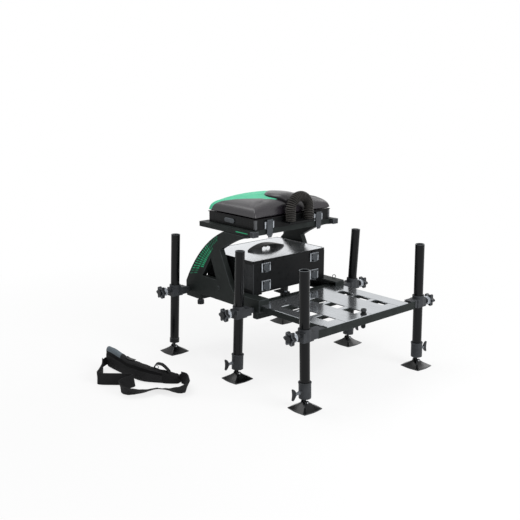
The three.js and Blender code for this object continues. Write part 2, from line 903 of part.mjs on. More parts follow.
function cutCornerOutline(halfWidth, frontY, rearY, corner) {
  return outline([
    [-halfWidth + corner, frontY],
    [halfWidth - corner, frontY],
    [halfWidth, frontY + corner],
    [halfWidth, rearY - corner],
    [halfWidth - corner, rearY],
    [-halfWidth + corner, rearY],
    [-halfWidth, rearY - corner],
    [-halfWidth, frontY + corner],
  ]);
}

// The fixed plate of a draw latch, with an ear on each side of the lever's barrel
function latchPlate(x, faceY, place) {
  const inset = latch.plateThickness;
  const plateZ = [place.plateBottomZ, place.plateTopZ];
  const plate = block(around(x, latch.plateWidth / 2), [faceY + inset, faceY - inset], plateZ);
  const earInner = latch.leverWidth / 2 + 2 * fit.gap;
  const earOuter = earInner + latch.earThickness;
  const earY = [faceY, faceY - latch.standOff - latch.barrelRadius];
  const earZ = around(place.pivotZ, latch.barrelRadius);
  const ears = sides.map(([, hand]) => block([x + hand * earInner, x + hand * earOuter], earY, earZ));
  return joined(plate, ...ears);
}

function latchPivotY(faceY) {
  return faceY - latch.standOff;
}

// The lever of a draw latch: barrel, flat lever and finger tab
function latchLever(name, x, faceY, place) {
  const y = latchPivotY(faceY);
  const half = latch.leverWidth / 2;
  const leverY = around(y, latch.leverThickness / 2);
  const lever = joined(
    rod("x", latch.barrelRadius, around(x, half), [y, place.pivotZ], facets.small),
    block(around(x, half), leverY, [place.pivotZ, place.leverEndZ + latch.tabHeight]),
    block(around(x, latch.tabWidth / 2), leverY, [place.pivotZ, place.leverEndZ]),
    block(
      around(x, latch.tabWidth / 2),
      [leverY[1], leverY[0] - latch.tabReach],
      [place.leverEndZ + latch.tabHeight / 2, place.leverEndZ + latch.tabHeight],
    ),
  );
  addPiece(name, lever, finishes.latch);
}

function drawerCavity(extra) {
  const frontY = drawer.frontY - extra;
  const rearY = drawer.rearY + extra;
  const bottomZ = seatBottomZ + drawer.bottomMargin;
  const topZ = seatTopZ - drawer.topMargin;
  return { frontY, rearY, bottomZ, topZ };
}

function seatShell() {
  const { halfWidth, frontY, rearY, edgeChamfer } = seat;
  const outer = prism(cutCornerOutline(halfWidth, frontY, rearY, edgeChamfer), "z", [seatBottomZ, seatTopZ]);
  const space = drawerCavity(0);
  const cavityEnd = -halfWidth + drawer.length + fit.gap;
  const cavity = block(
    [-halfWidth - fit.overrun, cavityEnd],
    [space.frontY, space.rearY],
    [space.bottomZ, space.topZ],
  );
  const plates = sides.map(([, side]) => latchPlate(side * latch.spacing, frontY, seatLatchPlace));
  const shelfTopZ = hoopFootZ - fit.gap;
  const shelfHalf = hoop.bend + hoop.tubeRadius;
  const shelf = block(
    around(hoop.x, shelfHalf),
    [hoop.y - hoop.tubeRadius, frontY + fit.overrun],
    [shelfTopZ - hoop.bracket, shelfTopZ],
  );
  const knuckles = hingeKnuckles(seatHinge, hingeY, hingeZ, rearY - seat.wall / 2);
  const solids = knuckles.map((knuckle) => knuckle.solid);
  const bores = knuckles.map((knuckle) => knuckle.bore);
  const shell = cut(joined(outer, shelf, ...plates, ...solids), cavity, ...bores);
  addPiece("seat_shell", shell, finishes.shell);
}

function seatDrawer() {
  const space = drawerCavity(-drawer.side);
  const faceX = -seat.halfWidth + fit.gap;
  const endX = -seat.halfWidth + drawer.length - drawer.side;
  const bottomZ = space.bottomZ + fit.gap;
  const topZ = space.topZ - drawer.side;
  const body = block([faceX, endX], [space.frontY, space.rearY], [bottomZ, topZ]);
  const tray = block(
    [faceX + drawer.faceThickness, endX - drawer.wall],
    [space.frontY + drawer.wall, space.rearY - drawer.wall],
    [bottomZ + drawer.wall, topZ + fit.overrun],
  );
  const pullZ = (bottomZ + topZ) / 2;
  const pullRadius = drawer.pullHeight / 2;
  const pullY = around(drawer.pullY, drawer.pullLength / 2 - pullRadius);
  const pullX = [faceX - drawer.pullReach, faceX + drawer.wall];
  const pull = joined(
    block(pullX, pullY, around(pullZ, pullRadius)),
    ...pullY.map((y) => rod("x", pullRadius, pullX, [y, pullZ], facets.knob)),
  );
  addPiece("seat_drawer", joined(cut(body, tray), pull), finishes.shell);
}

// Height of the cushion over its base, from its centre (0, 0) to its edges (-1 and 1)
function cushionHeight(u, v, x, y) {
  const fall = (t, power) => Math.pow(Math.max(0, 1 - Math.pow(Math.abs(t), power)), 1 / power);
  const fallX = fall(u, crownExponents.side);
  const fallY = fall(v, v < 0 ? crownExponents.front : crownExponents.rear);
  const acrossPommel = Math.min(1, Math.abs(x) / cushion.pommelHalfWidth);
  const alongPommel = Math.min(1, Math.abs(y - cushion.pommelY) / cushion.pommelHalfDepth);
  const pommel = (Math.cos(Math.PI * acrossPommel) + 1) * (Math.cos(Math.PI * alongPommel) + 1) / 4;
  return cushion.band + (cushion.crown + cushion.pommelRise * pommel) * fallX * fallY;
}

function seatCushion() {
  const { across, along } = cushionCells;
  const halfX = seat.halfWidth + cushion.overhang;
  const halfY = (seat.rearY - seat.frontY) / 2 + cushion.overhang;
  const centreY = (seat.rearY + seat.frontY) / 2;
  const baseZ = seatTopZ + fit.gap;
  const spread = (i, count) => Math.sin(Math.PI * (i / count - 1 / 2));
  const top = [];
  for (let j = 0; j <= along; j++) {
    const v = spread(j, along);
    for (let i = 0; i <= across; i++) {
      const u = spread(i, across);
      const x = u * (halfX - cushion.drawIn * (1 - v * v));
      const y = centreY + v * (halfY - cushion.drawIn * (1 - u * u));
      top.push([x, y, baseZ + cushionHeight(u, v, x, y)]);
    }
  }
  const at = (i, j) => j * (across + 1) + i;
  const faces = [];
  for (let j = 0; j < along; j++) {
    for (let i = 0; i < across; i++) {
      faces.push([at(i, j), at(i + 1, j), at(i + 1, j + 1)]);
      faces.push([at(i, j), at(i + 1, j + 1), at(i, j + 1)]);
    }
  }
  const rim = [];
  for (let i = 0; i < across; i++) rim.push(at(i, 0));
  for (let j = 0; j < along; j++) rim.push(at(across, j));
  for (let i = across; i > 0; i--) rim.push(at(i, along));
  for (let j = along; j > 0; j--) rim.push(at(0, j));
  const points = [...top];
  const foot = rim.map((index) => points.push([top[index][0], top[index][1], baseZ]) - 1);
  const centre = points.push([0, centreY, baseZ]) - 1;
  rim.forEach((index, k) => {
    const next = (k + 1) % rim.length;
    faces.push([foot[k], foot[next], rim[next]]);
    faces.push([foot[k], rim[next], index]);
    faces.push([centre, foot[next], foot[k]]);
  });
  addPiece("seat_cushion", solidOf(meshGeometry(points, faces)), finishes.leather);
}

function meshGeometry(points, faces) {
  const geometry = new THREE.BufferGeometry();
  geometry.setAttribute("position", new THREE.Float32BufferAttribute(points.flat(), 3));
  geometry.setIndex(faces.flat());
  return geometry;
}

// A point of the hoop's centre line and the direction outwards from the arch, at a distance
// along the line from the left foot
function hoopLine(distance) {
  const leg = hoopArchZ - hoopFootZ;
  const arc = Math.PI * hoop.bend;
  const down = hoopArchZ - (distance - leg - arc);
  if (distance <= leg) return { x: hoop.x - hoop.bend, z: hoopFootZ + distance, outX: -1, outZ: 0 };
  if (distance >= leg + arc) return { x: hoop.x + hoop.bend, z: down, outX: 1, outZ: 0 };
  const angle = Math.PI - (distance - leg) / hoop.bend;
  const [outX, outZ] = [Math.cos(angle), Math.sin(angle)];
  return { x: hoop.x + hoop.bend * outX, z: hoopArchZ + hoop.bend * outZ, outX, outZ };
}

function hoopRing(distance, radius) {
  const { x, z, outX, outZ } = hoopLine(distance);
  const ring = [];
  for (let i = 0; i < hoopRibs.points; i++) {
    const angle = (2 * Math.PI * (i + 1 / 2)) / hoopRibs.points;
    const out = radius * Math.cos(angle);
    ring.push([x + out * outX, hoop.y + radius * Math.sin(angle), z + out * outZ]);
  }
  return ring;
}

function poleHoop() {
  const length = 2 * (hoopArchZ - hoopFootZ) + Math.PI * hoop.bend;
  const pitch = length / hoopRibs.count;
  const valley = hoop.tubeRadius - hoop.ribDepth;
  const outer = [hoopRing(0, valley)];
  for (let i = 0; i < hoopRibs.count; i++) {
    outer.push(hoopRing((i + 1 / 4) * pitch, hoop.tubeRadius));
    outer.push(hoopRing((i + 3 / 4) * pitch, valley));
  }
  outer.push(hoopRing(length, valley));
  const inner = [];
  for (let i = 0; i <= hoopRibs.count; i += hoopRibs.boreStep) {
    inner.push(hoopRing(i * pitch, hoop.boreRadius));
  }
  inner.push(hoopRing(length, hoop.boreRadius));
  const rings = [...outer, ...inner.reverse()];
  const points = rings.flat();
  const faces = [];
  const count = hoopRibs.points;
  rings.forEach((ring, r) => {
    const next = ((r + 1) % rings.length) * count;
    const here = r * count;
    for (let i = 0; i < count; i++) {
      const j = (i + 1) % count;
      faces.push([here + i, next + j, here + j]);
      faces.push([here + i, next + i, next + j]);
    }
  });
  addPiece("pole_hoop", solidOf(meshGeometry(points, faces)), finishes.rubber);
}

// Tackle case

function caseBody() {
  const { halfWidth, frontY, rearY, wall, cornerCut, postWidth, postReach } = tackle;
  const keelHalf = channelX - tackle.keelPlay;
  const keelZ = [caseBottomZ - tackle.keelDrop, caseBottomZ + wall / 2];
  const keels = sides.map(([, side]) => {
    const keelX = [side * keelHalf, side * (keelHalf - tackle.keelWidth)];
    return block(keelX, [frontY, rearY], keelZ);
  });
  const bodyZ = [caseBottomZ, seamZ - fit.gap];
  const outer = prism(cutCornerOutline(halfWidth, frontY, rearY, cornerCut), "z", bodyZ);
  const inside = prism(
    cutCornerOutline(halfWidth - wall, frontY + wall, rearY - wall, cornerCut),
    "z",
    [caseBottomZ + wall, seamZ + fit.overrun],
  );
  const postY = [frontY + cornerCut, frontY + postWidth];
  const plates = sides.flatMap(([, side]) => [
    latchPlate(side * latch.spacing, frontY, lidLatchPlace),
    latchPlate(side * latch.spacing, frontY, baseLatchPlace),
    block([side * (halfWidth - wall), side * (halfWidth + postReach)], postY, bodyZ),
  ]);
  const lugFloorZ = seamZ - 2 * lidHinge.radius;
  const lugWallY = rearY + fit.hingeClearance;
  const lugs = hingeLugs(lidHinge, lidPivotY, seamZ, lugFloorZ, lugWallY);
  const rootY = [rearY - wall / 2, lugWallY + fit.gap];
  const rootZ = [lugFloorZ, seamZ - lidHinge.radius - fit.gap];
  for (const [, side] of sides) {
    const reach = lidHinge.width / 2 + lidHinge.lugWidth;
    lugs.push(block(around(side * lidHinge.spacing, reach), rootY, rootZ));
  }
  const shell = joined(cut(outer, inside), ...keels, ...lugs);
  const trimmed = cut(joined(shell, ...plates), inside);
  addPiece("case_body", trimmed, finishes.shell);
}

function caseLid() {
  const { halfWidth, frontY, rearY, wall, cornerCut, lidWall, rim } = tackle;
  const outer = prism(cutCornerOutline(halfWidth, frontY, rearY, cornerCut), "z", [seamZ, caseTopZ]);
  const inside = prism(
    cutCornerOutline(halfWidth - wall, frontY + wall, rearY - wall, cornerCut),
    "z",
    [seamZ - fit.overrun, caseTopZ - tackle.rimDepth - lidWall],
  );
  const knuckles = hingeKnuckles(lidHinge, lidPivotY, seamZ, rearY - wall / 2);
  const solids = knuckles.map((knuckle) => knuckle.solid);
  const bores = knuckles.map((knuckle) => knuckle.bore);
  const relief = knuckles.map((knuckle, i) => {
    const span = around(sides[i][1] * lidHinge.spacing, lidHinge.width / 2);
    return block(span, [rearY - wall, rearY + 2 * fit.gap], [seamZ - lidHinge.webHalf - fit.overrun, seamZ]);
  });
  const keepers = sides.map(([, side]) =>
    block(
      around(side * latch.spacing, latch.leverWidth / 2),
      [frontY + wall / 2, frontY - latch.keeperReach],
      [seamZ + fit.gap, seamZ + latch.keeperHeight],
    ),
  );
  const panel = block(
    [rim - halfWidth, halfWidth - rim],
    [frontY + rim, rearY - rim],
    [caseTopZ - tackle.rimDepth, caseTopZ + fit.overrun],
  );
  const lid = cut(joined(cut(outer, inside), ...solids, ...keepers), panel, ...bores, ...relief);
  addPiece("case_lid", lid, finishes.lid);
}

function caseHandle() {
  const { length, width, rise, gripThickness, openingLength, padThickness } = carryHandle;
  const baseZ = caseTopZ - tackle.rimDepth + fit.gap;
  const topZ = baseZ + rise;
  const half = length / 2;
  const open = openingLength / 2;
  const side = new THREE.Shape();
  side.moveTo(-half, baseZ);
  side.lineTo(half, baseZ);
  side.lineTo(half, baseZ + padThickness);
  side.quadraticCurveTo(open, topZ, 0, topZ);
  side.quadraticCurveTo(-open, topZ, -half, baseZ + padThickness);
  side.closePath();
  const centreY = (tackle.frontY + tackle.rearY) / 2;
  const plan = new THREE.Shape();
  plan.absellipse(0, centreY, half, width / 2, 0, 2 * Math.PI);
  const body = prism(side, "y", around(centreY, width / 2)).intersect(
    prism(plan, "z", [baseZ - fit.overrun, topZ + fit.overrun]),
  );
  const opening = block([-open, open], around(centreY, width), [baseZ - fit.overrun, topZ - gripThickness]);
  addPiece("case_handle", cut(body, opening), finishes.rubber);
}

// Footplate

function spigotHole(bottomZ, topZ) {
  const span = [bottomZ - fit.overrun, topZ + fit.overrun];
  return rod("z", spigot.radius + spigot.play, span, [spigot.x, frontRailY], facets.knob);
}

function footplateFrontRail() {
  const depth = around(frontRailY, footplate.railSide / 2);
  const topZ = railTopZ - fit.gap;
  const bottomZ = topZ - footplate.railSide;
  const rail = block([-frontRailHalfWidth, frontRailHalfWidth], depth, [bottomZ, topZ]);
  addPiece("footplate_front_rail", cut(rail, spigotHole(bottomZ, topZ)), finishes.frame);
}

// Rear rail, the two runners in the channels of the side frames and the stiffeners of the deck
function footplateRearFrame() {
  const { railSide, rearRailDrop, runnerWidth, runnerDrop } = footplate;
  const half = rearRailHalfWidth;
  const topZ = railTopZ - fit.gap;
  const frontY = frontRailY + railSide / 2 + fit.gap;
  const inner = half - runnerWidth;
  const parts = [block([-half, half], around(rearRailY, railSide / 2), [railTopZ - rearRailDrop, deckTopZ])];
  for (const [, side] of sides) {
    parts.push(block([side * inner, side * half], [frontY, rearRailY], [topZ - runnerDrop, topZ]));
  }
  const deckLength = deckRearY - deckFrontY;
  const span = [-inner - fit.overrun, inner + fit.overrun];
  for (const [, far] of deckRowShares) {
    const y = deckFrontY + far * deckLength;
    const depth = [y, y + footplate.stiffenerThickness];
    parts.push(block(span, depth, [topZ - footplate.stiffenerDrop, topZ]));
  }
  addPiece("footplate_rear_frame", joined(...parts), finishes.frame);
}

function footplateDeck() {
  const width = 2 * deckHalfWidth;
  const length = deckRearY - deckFrontY;
  const deck = block([-deckHalfWidth, deckHalfWidth], [deckFrontY, deckRearY], [railTopZ, deckTopZ]);
  const cutZ = [railTopZ - fit.overrun, deckTopZ + fit.overrun];
  const openings = deckColumnShares.flatMap(([left, right]) =>
    deckRowShares.map(([near, far]) =>
      block(
        [-deckHalfWidth + left * width, -deckHalfWidth + right * width],
        [deckFrontY + near * length, deckFrontY + far * length],
        cutZ,
      ),
    ),
  );
  addPiece("footplate_deck", cut(deck, ...openings, spigotHole(railTopZ, deckTopZ)), finishes.plate);
}

// An angle bracket on the rear rail: its flange carries the front edge of the case
function footplateCaseStop() {
  const { x, width, thickness, flangeReach, flangeThickness, knobRadius, knobLength } = caseStop;
  const topZ = caseBottomZ - tackle.keelDrop - fit.gap;
  const span = around(x, width / 2);
  const upright = around(rearRailY, thickness / 2);
  const knobZ = topZ - knobRadius - fit.gap;
  const bracket = joined(
    block(span, upright, [deckTopZ + fit.gap, topZ]),
    block(span, [upright[0], upright[1] + flangeReach], [topZ - flangeThickness, topZ]),
    rod("y", knobRadius, [rearRailY, upright[0] - knobLength], [x, knobZ], facets.small),
  );
  addPiece("footplate_case_stop", bracket, finishes.frame);
}

// A pin for accessories, down through the deck and the front rail, resting on its flange
function footplateSpigot() {
  const { x, radius, boreRadius, boreDepth, flange } = spigot;
  const bottomZ = railTopZ - spigot.drop;
  const topZ = deckTopZ + spigot.rise;
  const flangeZ = deckTopZ + fit.gap;
  const profile = [
    [0, bottomZ],
    [radius / 2, bottomZ],
    [radius, bottomZ + radius / 2],
    [radius, flangeZ],
    [radius + flange, flangeZ],
    [radius + flange, flangeZ + flange],
    [radius, flangeZ + flange],
    [radius, topZ],
    [boreRadius, topZ],
    [boreRadius, topZ - boreDepth],
    [0, topZ - boreDepth],
  ];
  addPiece("footplate_spigot", turned(profile, [x, frontRailY], facets.knob), finishes.knob);
}

// Carry strap

function strapCurve(planShares) {
  const points = planShares.map(
    ([alongX, alongY]) => new THREE.Vector3(strap.originX + alongX * strap.reach, alongY * strap.reach, 0),
  );
  return new THREE.CatmullRomCurve3(points, false, "centripetal");
}

function strapPadPiece() {
  const curve = strapCurve(padPlanShares);
  const last = padPlanShares.length - 1;
  const softened = (value) => Math.sign(value) * Math.pow(Math.abs(value), padRingPower);
  const extreme = softened(Math.cos(Math.PI / padRingPoints));
  const rings = padPlanShares.map((plan, i) => {
    const point = curve.getPoint(i / last);
    const tangent = curve.getTangent(i / last);
    const height = strap.padHeight * padTallShares[i];
    const half = (strap.padThickness * padThickShares[i]) / 2;
    const ring = [];
    for (let k = 0; k < padRingPoints; k++) {
      const angle = (2 * Math.PI * (k + 1 / 2)) / padRingPoints;
      const out = (half * softened(Math.cos(angle))) / extreme;
      const up = (height / 2) * (1 + softened(Math.sin(angle)) / extreme);
      ring.push([point.x - out * tangent.y, point.y + out * tangent.x, up]);
    }
    return ring;
  });
  addPiece("strap_pad", solidOf(meshGeometry(rings.flat(), ringedFaces(rings))), finishes.strap);
}

function strapWebbing() {
  const curve = strapCurve(webbingShares);
  const steps = 2 * (webbingShares.length - 1);
  const near = [];
  const far = [];
  for (let i = 0; i <= steps; i++) {
    const point = curve.getPoint(i / steps);
    const tangent = curve.getTangent(i / steps);
    const side = strap.webbingThickness / 2;
    near.push([point.x - tangent.y * side, point.y + tangent.x * side]);
    far.unshift([point.x + tangent.y * side, point.y - tangent.x * side]);
  }
  const webbing = prism(outline([...near, ...far]), "z", [0, strap.webbingHeight]);
  addPiece("strap_webbing", webbing, finishes.strap);
}

// Assembly

// Rows of legs, from the rear, with the way each leg leans in its clamp (degrees, top towards +X)
const onBase = { railX: sideFrame.halfWidth, clampZ: baseClampZ, onRail: false };
const onFootplate = { railX: frontRailHalfWidth, clampZ: footplateClampZ, onRail: true };
const legRows = [
  { row: "rear", y: legs.rearY, telescopic: false, leans: [2.5, 3.5], ...onBase },
  { row: "middle", y: legs.middleY, telescopic: true, leans: [2.1, 3.9], ...onBase },
  { row: "front", y: legs.frontY, telescopic: true, leans: [-1.4, -1.4], ...onFootplate },
];

function buildLegs() {
  for (const { row, leans, ...shared } of legRows) {
    sides.forEach(([name, side], i) => {
      const leg = {
        ...shared,
        place: `${row}_${name}`,
        x: side * legTrack,
        side,
        lean: leans[i],
        bossRise: clamps.bossRises[i],
      };
      legTube(leg);
      if (leg.telescopic) {
        telescopicStem(leg);
        stemKnob(leg);
      } else {
        endPlug(leg);
      }
      footPad(leg);
      legClamp(leg);
      clampKnob(leg);
    });
  }
}

function buildBase() {
  for (const [name, side] of sides) sideFramePiece(name, side);
  baseFrontCross();
  baseRearRail();
  slideLockKnob();
  seatFramePiece();
}

function buildFootplate() {
  footplateFrontRail();
  footplateRearFrame();
  footplateDeck();
  footplateCaseStop();
  footplateSpigot();
}

function buildSeat() {
  seatShell();
  seatDrawer();
  seatCushion();
  poleHoop();
  for (const [name, side] of sides) {
    latchLever(`${name}_seat_latch`, side * latch.spacing, seat.frontY, seatLatchPlace);
  }
}

function buildCase() {
  caseBody();
  caseLid();
  caseHandle();
  for (const [name, side] of sides) {
    latchLever(`${name}_lid_latch`, side * latch.spacing, tackle.frontY, lidLatchPlace);
    latchLever(`${name}_base_latch`, side * latch.spacing, tackle.frontY, baseLatchPlace);
  }
}

function buildStrap() {
  strapPadPiece();
  strapWebbing();
}

buildLegs();
buildBase();
buildFootplate();
buildSeat();
buildCase();
buildStrap();

// The origin is the middle of the footprint, on the ground
const bounds = new THREE.Box3().setFromObject(model);
const middle = bounds.getCenter(new THREE.Vector3());
for (const mesh of model.children) mesh.position.set(-middle.x, -middle.y, -bounds.min.z);

export default model;
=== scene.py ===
"""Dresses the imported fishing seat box: finishes, leather, ribs, trim, floor, light and camera."""

import json
import logging
import math
from contextlib import contextmanager
from dataclasses import dataclass
from enum import Enum
from typing import Any, Callable, Iterator, Optional, Sequence, Union

import bpy
from mathutils import Matrix, Vector


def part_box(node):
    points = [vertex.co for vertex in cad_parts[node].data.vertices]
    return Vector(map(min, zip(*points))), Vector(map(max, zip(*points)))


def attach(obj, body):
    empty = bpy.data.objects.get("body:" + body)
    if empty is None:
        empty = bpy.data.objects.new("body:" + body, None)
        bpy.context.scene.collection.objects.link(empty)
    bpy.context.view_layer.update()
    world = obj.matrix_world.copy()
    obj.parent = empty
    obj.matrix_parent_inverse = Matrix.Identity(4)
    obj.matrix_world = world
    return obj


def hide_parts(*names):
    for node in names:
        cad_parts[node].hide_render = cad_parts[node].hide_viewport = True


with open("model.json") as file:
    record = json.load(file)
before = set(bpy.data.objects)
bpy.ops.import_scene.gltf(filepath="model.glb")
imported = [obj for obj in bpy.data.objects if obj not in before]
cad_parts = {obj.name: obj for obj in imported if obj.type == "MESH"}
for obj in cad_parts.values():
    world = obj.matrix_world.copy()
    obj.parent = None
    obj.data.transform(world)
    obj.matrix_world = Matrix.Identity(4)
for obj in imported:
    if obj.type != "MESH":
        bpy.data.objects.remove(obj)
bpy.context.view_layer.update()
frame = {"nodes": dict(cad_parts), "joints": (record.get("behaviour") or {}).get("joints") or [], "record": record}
LOG = logging.getLogger("seat_box")
MM = 0.001
SIDES = {"left": -1, "right": 1}
PLACES = [f"{row}_{side}" for row in ("rear", "middle", "front") for side in SIDES]
Number = Union[int, float]
Colour = tuple[float, float, float]
Pair = tuple[Number, Number]
Path = tuple[tuple[float, float], ...]
Piece = bpy.types.Object


def joint_place(name: str) -> Vector:
    """The pivot of a joint, in metres."""
    return next(Vector(joint["pos_m"]) for joint in frame["joints"] if joint["name"] == name)


def joint_axis(name: str) -> Vector:
    """The unit axis of a joint."""
    return next(Vector(joint["axis"]).normalized() for joint in frame["joints"] if joint["name"] == name)


ORIGIN = (joint_place("middle_left_foot_tilt") + joint_place("middle_right_foot_tilt")) / 2
BODY_OF = {node: body for body, nodes in frame["record"]["behaviour"]["bodies"].items() for node in nodes}
SLOT_OF = {part["node"]: part["material_slot"] for part in frame["record"]["subparts"]}


def at(x: Number, y: Number, z: Number) -> Vector:
    """A point in metres from millimetres off the middle between the middle legs."""
    return Vector((ORIGIN.x + x * MM, ORIGIN.y + y * MM, z * MM))


def srgb(level: Sequence[Number]) -> tuple[float, float, float, float]:
    """A linear colour with alpha from three display values of 0 to 255."""
    linear = [(v / 255) / 12.92 if v <= 10 else ((v / 255 + 0.055) / 1.055) ** 2.4 for v in level]
    return (linear[0], linear[1], linear[2], 1.0)


class Axis(Enum):
    """The three axes, with the turn that brings +Z onto each."""

    X = Vector((1, 0, 0))
    Y = Vector((0, 1, 0))
    Z = Vector((0, 0, 1))

    def turn(self) -> Matrix:
        """The rotation from +Z to this axis."""
        return Vector((0, 0, 1)).rotation_difference(self.value).to_matrix().to_4x4()


# Shader maths

Term = Union["Wire", int, float]


class Wire:
    """An output socket, so that shader maths is written as a Python expression."""

    def __init__(self, graph: "Graph", socket: bpy.types.NodeSocket) -> None:
        """Keeps the graph and the socket."""
        self.graph = graph
        self.socket = socket

    def __add__(self, other: Term) -> "Wire":
        """Sum."""
        return self.graph.math("ADD", self, other)

    def __mul__(self, other: Term) -> "Wire":
        """Product."""
        return self.graph.math("MULTIPLY", self, other)

    __radd__ = __add__
    __rmul__ = __mul__


class Graph:
    """The node tree of a material or of the world."""

    def __init__(self, tree: bpy.types.NodeTree) -> None:
        """Starts from an empty tree."""
        self.tree = tree
        tree.nodes.clear()

    def node(self, kind: str, settings: Optional[dict[str, Any]] = None, **inputs: Any) -> bpy.types.Node:
        """Adds a node.

        Args:
            kind: The node's type, without the ShaderNode in front.
            settings: Properties that are set before the sockets.
            inputs: Values or wires by socket name, with _ for a space; a name ending in a
                digit after two underscores is a socket number, such as at__1.

        Returns:
            The new node.
        """
        made = self.tree.nodes.new("ShaderNode" + kind)
        for name, value in (settings or {}).items():
            setattr(made, name, value)
        for name, value in inputs.items():
            key: Any = int(name.split("__")[1]) if "__" in name else name.replace("_", " ")
            if isinstance(value, Wire):
                self.tree.links.new(value.socket, made.inputs[key])
            else:
                made.inputs[key].default_value = value
        return made

    def out(self, made: bpy.types.Node, name: Union[str, int] = 0) -> Wire:
        """One output of a node as a wire."""
        return Wire(self, made.outputs[name])

    def math(self, operation: str, *terms: Term) -> Wire:
        """A Math node on values and wires."""
        inputs = {f"at__{i}": term for i, term in enumerate(terms)}
        return self.out(self.node("Math", {"operation": operation}, **inputs))

    def place(self, stretch: Sequence[Number] = (1, 1, 1)) -> Wire:
        """Where a point is on the object, stretched along each axis."""
        source = self.out(self.node("TexCoord"), "Object")
        return self.out(self.node("VectorMath", {"operation": "MULTIPLY"}, at__0=source, at__1=stretch))

    def noise(self, where: Wire, scale: Number, detail: Number, rough: Number = 0.55) -> Wire:
        """Smooth noise of 0 to 1."""
        made = self.node("TexNoise", None, Vector=where, Scale=scale, Detail=detail, Roughness=rough)
        return self.out(made, 0)

    def cells(self, where: Wire, scale: Number) -> Wire:
        """The distance field of scattered cells."""
        return self.out(self.node("TexVoronoi", {"feature": "F1"}, Vector=where, Scale=scale), "Distance")

    def range(
        self, value: Wire, low: Number, high: Number, out_low: Number = 0, out_high: Number = 1,
    ) -> Wire:
        """Maps a range of a value onto another, clamped."""
        inputs = {f"at__{i}": term for i, term in enumerate((value, low, high, out_low, out_high))}
        return self.out(self.node("MapRange", {"clamp": True}, **inputs))

    def blend(self, share: Term, first: Any, second: Any) -> Wire:
        """A colour between two, at a share of 0 to 1."""
        made = self.node("Mix", {"data_type": "RGBA"}, at__0=share, at__6=first, at__7=second)
        return self.out(made, 2)

    def split(self, where: Wire) -> tuple[Wire, Wire, Wire]:
        """The three parts of a vector."""
        made = self.node("SeparateXYZ", None, Vector=where)
        return self.out(made, 0), self.out(made, 1), self.out(made, 2)

    def bump(self, height: Wire, depth: Number, strength: Number) -> Wire:
        """A Bump node for a height field of the given depth in metres."""
        return self.out(self.node("Bump", None, Height=height, Distance=depth, Strength=strength))

    def surface(self, **inputs: Any) -> None:
        """The Principled shader and the output."""
        shader = self.out(self.node("BsdfPrincipled", None, **inputs))
        self.node("OutputMaterial", None, Surface=shader)


@dataclass(frozen=True)
class Finish:
    """A finish: its name, its colour in display values and its gloss."""

    name: str
    colour: Colour
    roughness: float
    metallic: float = 0.0
    specular: float = 0.3

    def material(self) -> bpy.types.Material:
        """The finish's material, made once.

        Returns:
            The material.
        """
        made = bpy.data.materials.get(self.name)
        if made is None:
            made = bpy.data.materials.new(self.name)
            made.use_nodes = True
            graph = Graph(made.node_tree)
            self.weave(graph)
        return made

    def weave(self, graph: Graph) -> None:
        """Fills the graph; each kind of finish has its own."""
        raise NotImplementedError

    def tones(self, graph: Graph, share: Wire, spread: float = 0.12) -> Wire:
        """The colour, a little darker to a little lighter as a share goes from 0 to 1.

        Args:
            graph: The material's graph.
            share: A wire of 0 to 1.
            spread: How far the two ends lie from the colour, as a share of it.

        Returns:
            The colour, as a wire.
        """
        low = [v * (1 - spread) for v in self.colour]
        high = [min(255, v * (1 + spread)) for v in self.colour]
        return graph.blend(share, srgb(low), srgb(high))


@dataclass(frozen=True)
class Coated(Finish):
    """Metal under a satin coat: a fine orange-peel grain with soft patches of handling wear."""

    grain: float = 900.0
    depth: float = 0.00004
    spread: float = 0.14
    stretch: tuple[float, float, float] = (1, 1, 1)

    def weave(self, graph: Graph) -> None:
        """Patches in the colour and the gloss, and a fine grain in the bump.

        Args:
            graph: The material's graph.
        """
        where = graph.place()
        patches = graph.noise(graph.place(self.stretch), scale=34, detail=4)
        grain = graph.noise(where, scale=self.grain, detail=2)
        graph.surface(
            Base_Color=self.tones(graph, graph.range(patches, 0.3, 0.7), self.spread),
            Roughness=graph.range(
                patches * 0.7 + grain * 0.3, 0.3, 0.7, self.roughness - 0.07, self.roughness + 0.09,
            ),
            Metallic=self.metallic,
            Specular_IOR_Level=self.specular,
            Normal=graph.bump(grain, self.depth, strength=0.6),
        )


@dataclass(frozen=True)
class Brushed(Finish):
    """Bare metal brushed along one direction."""

    along: tuple[float, float, float] = (8, 700, 700)
    spread: float = 0.1

    def weave(self, graph: Graph) -> None:
        """Long fine streaks in the colour, the gloss and the bump, and broad soft smudges.

        Args:
            graph: The material's graph.
        """
        streaks = graph.noise(graph.place(self.along), scale=1.0, detail=4, rough=0.7)
        smudges = graph.noise(graph.place(), scale=12, detail=3)
        share = graph.range(streaks * 0.6 + smudges * 0.4, 0.3, 0.7)
        graph.surface(
            Base_Color=self.tones(graph, share, self.spread),
            Roughness=graph.range(share, 0, 1, self.roughness - 0.03, self.roughness + 0.05),
            Metallic=self.metallic,
            Specular_IOR_Level=self.specular,
            Normal=graph.bump(streaks, depth=0.00001, strength=0.15),
        )


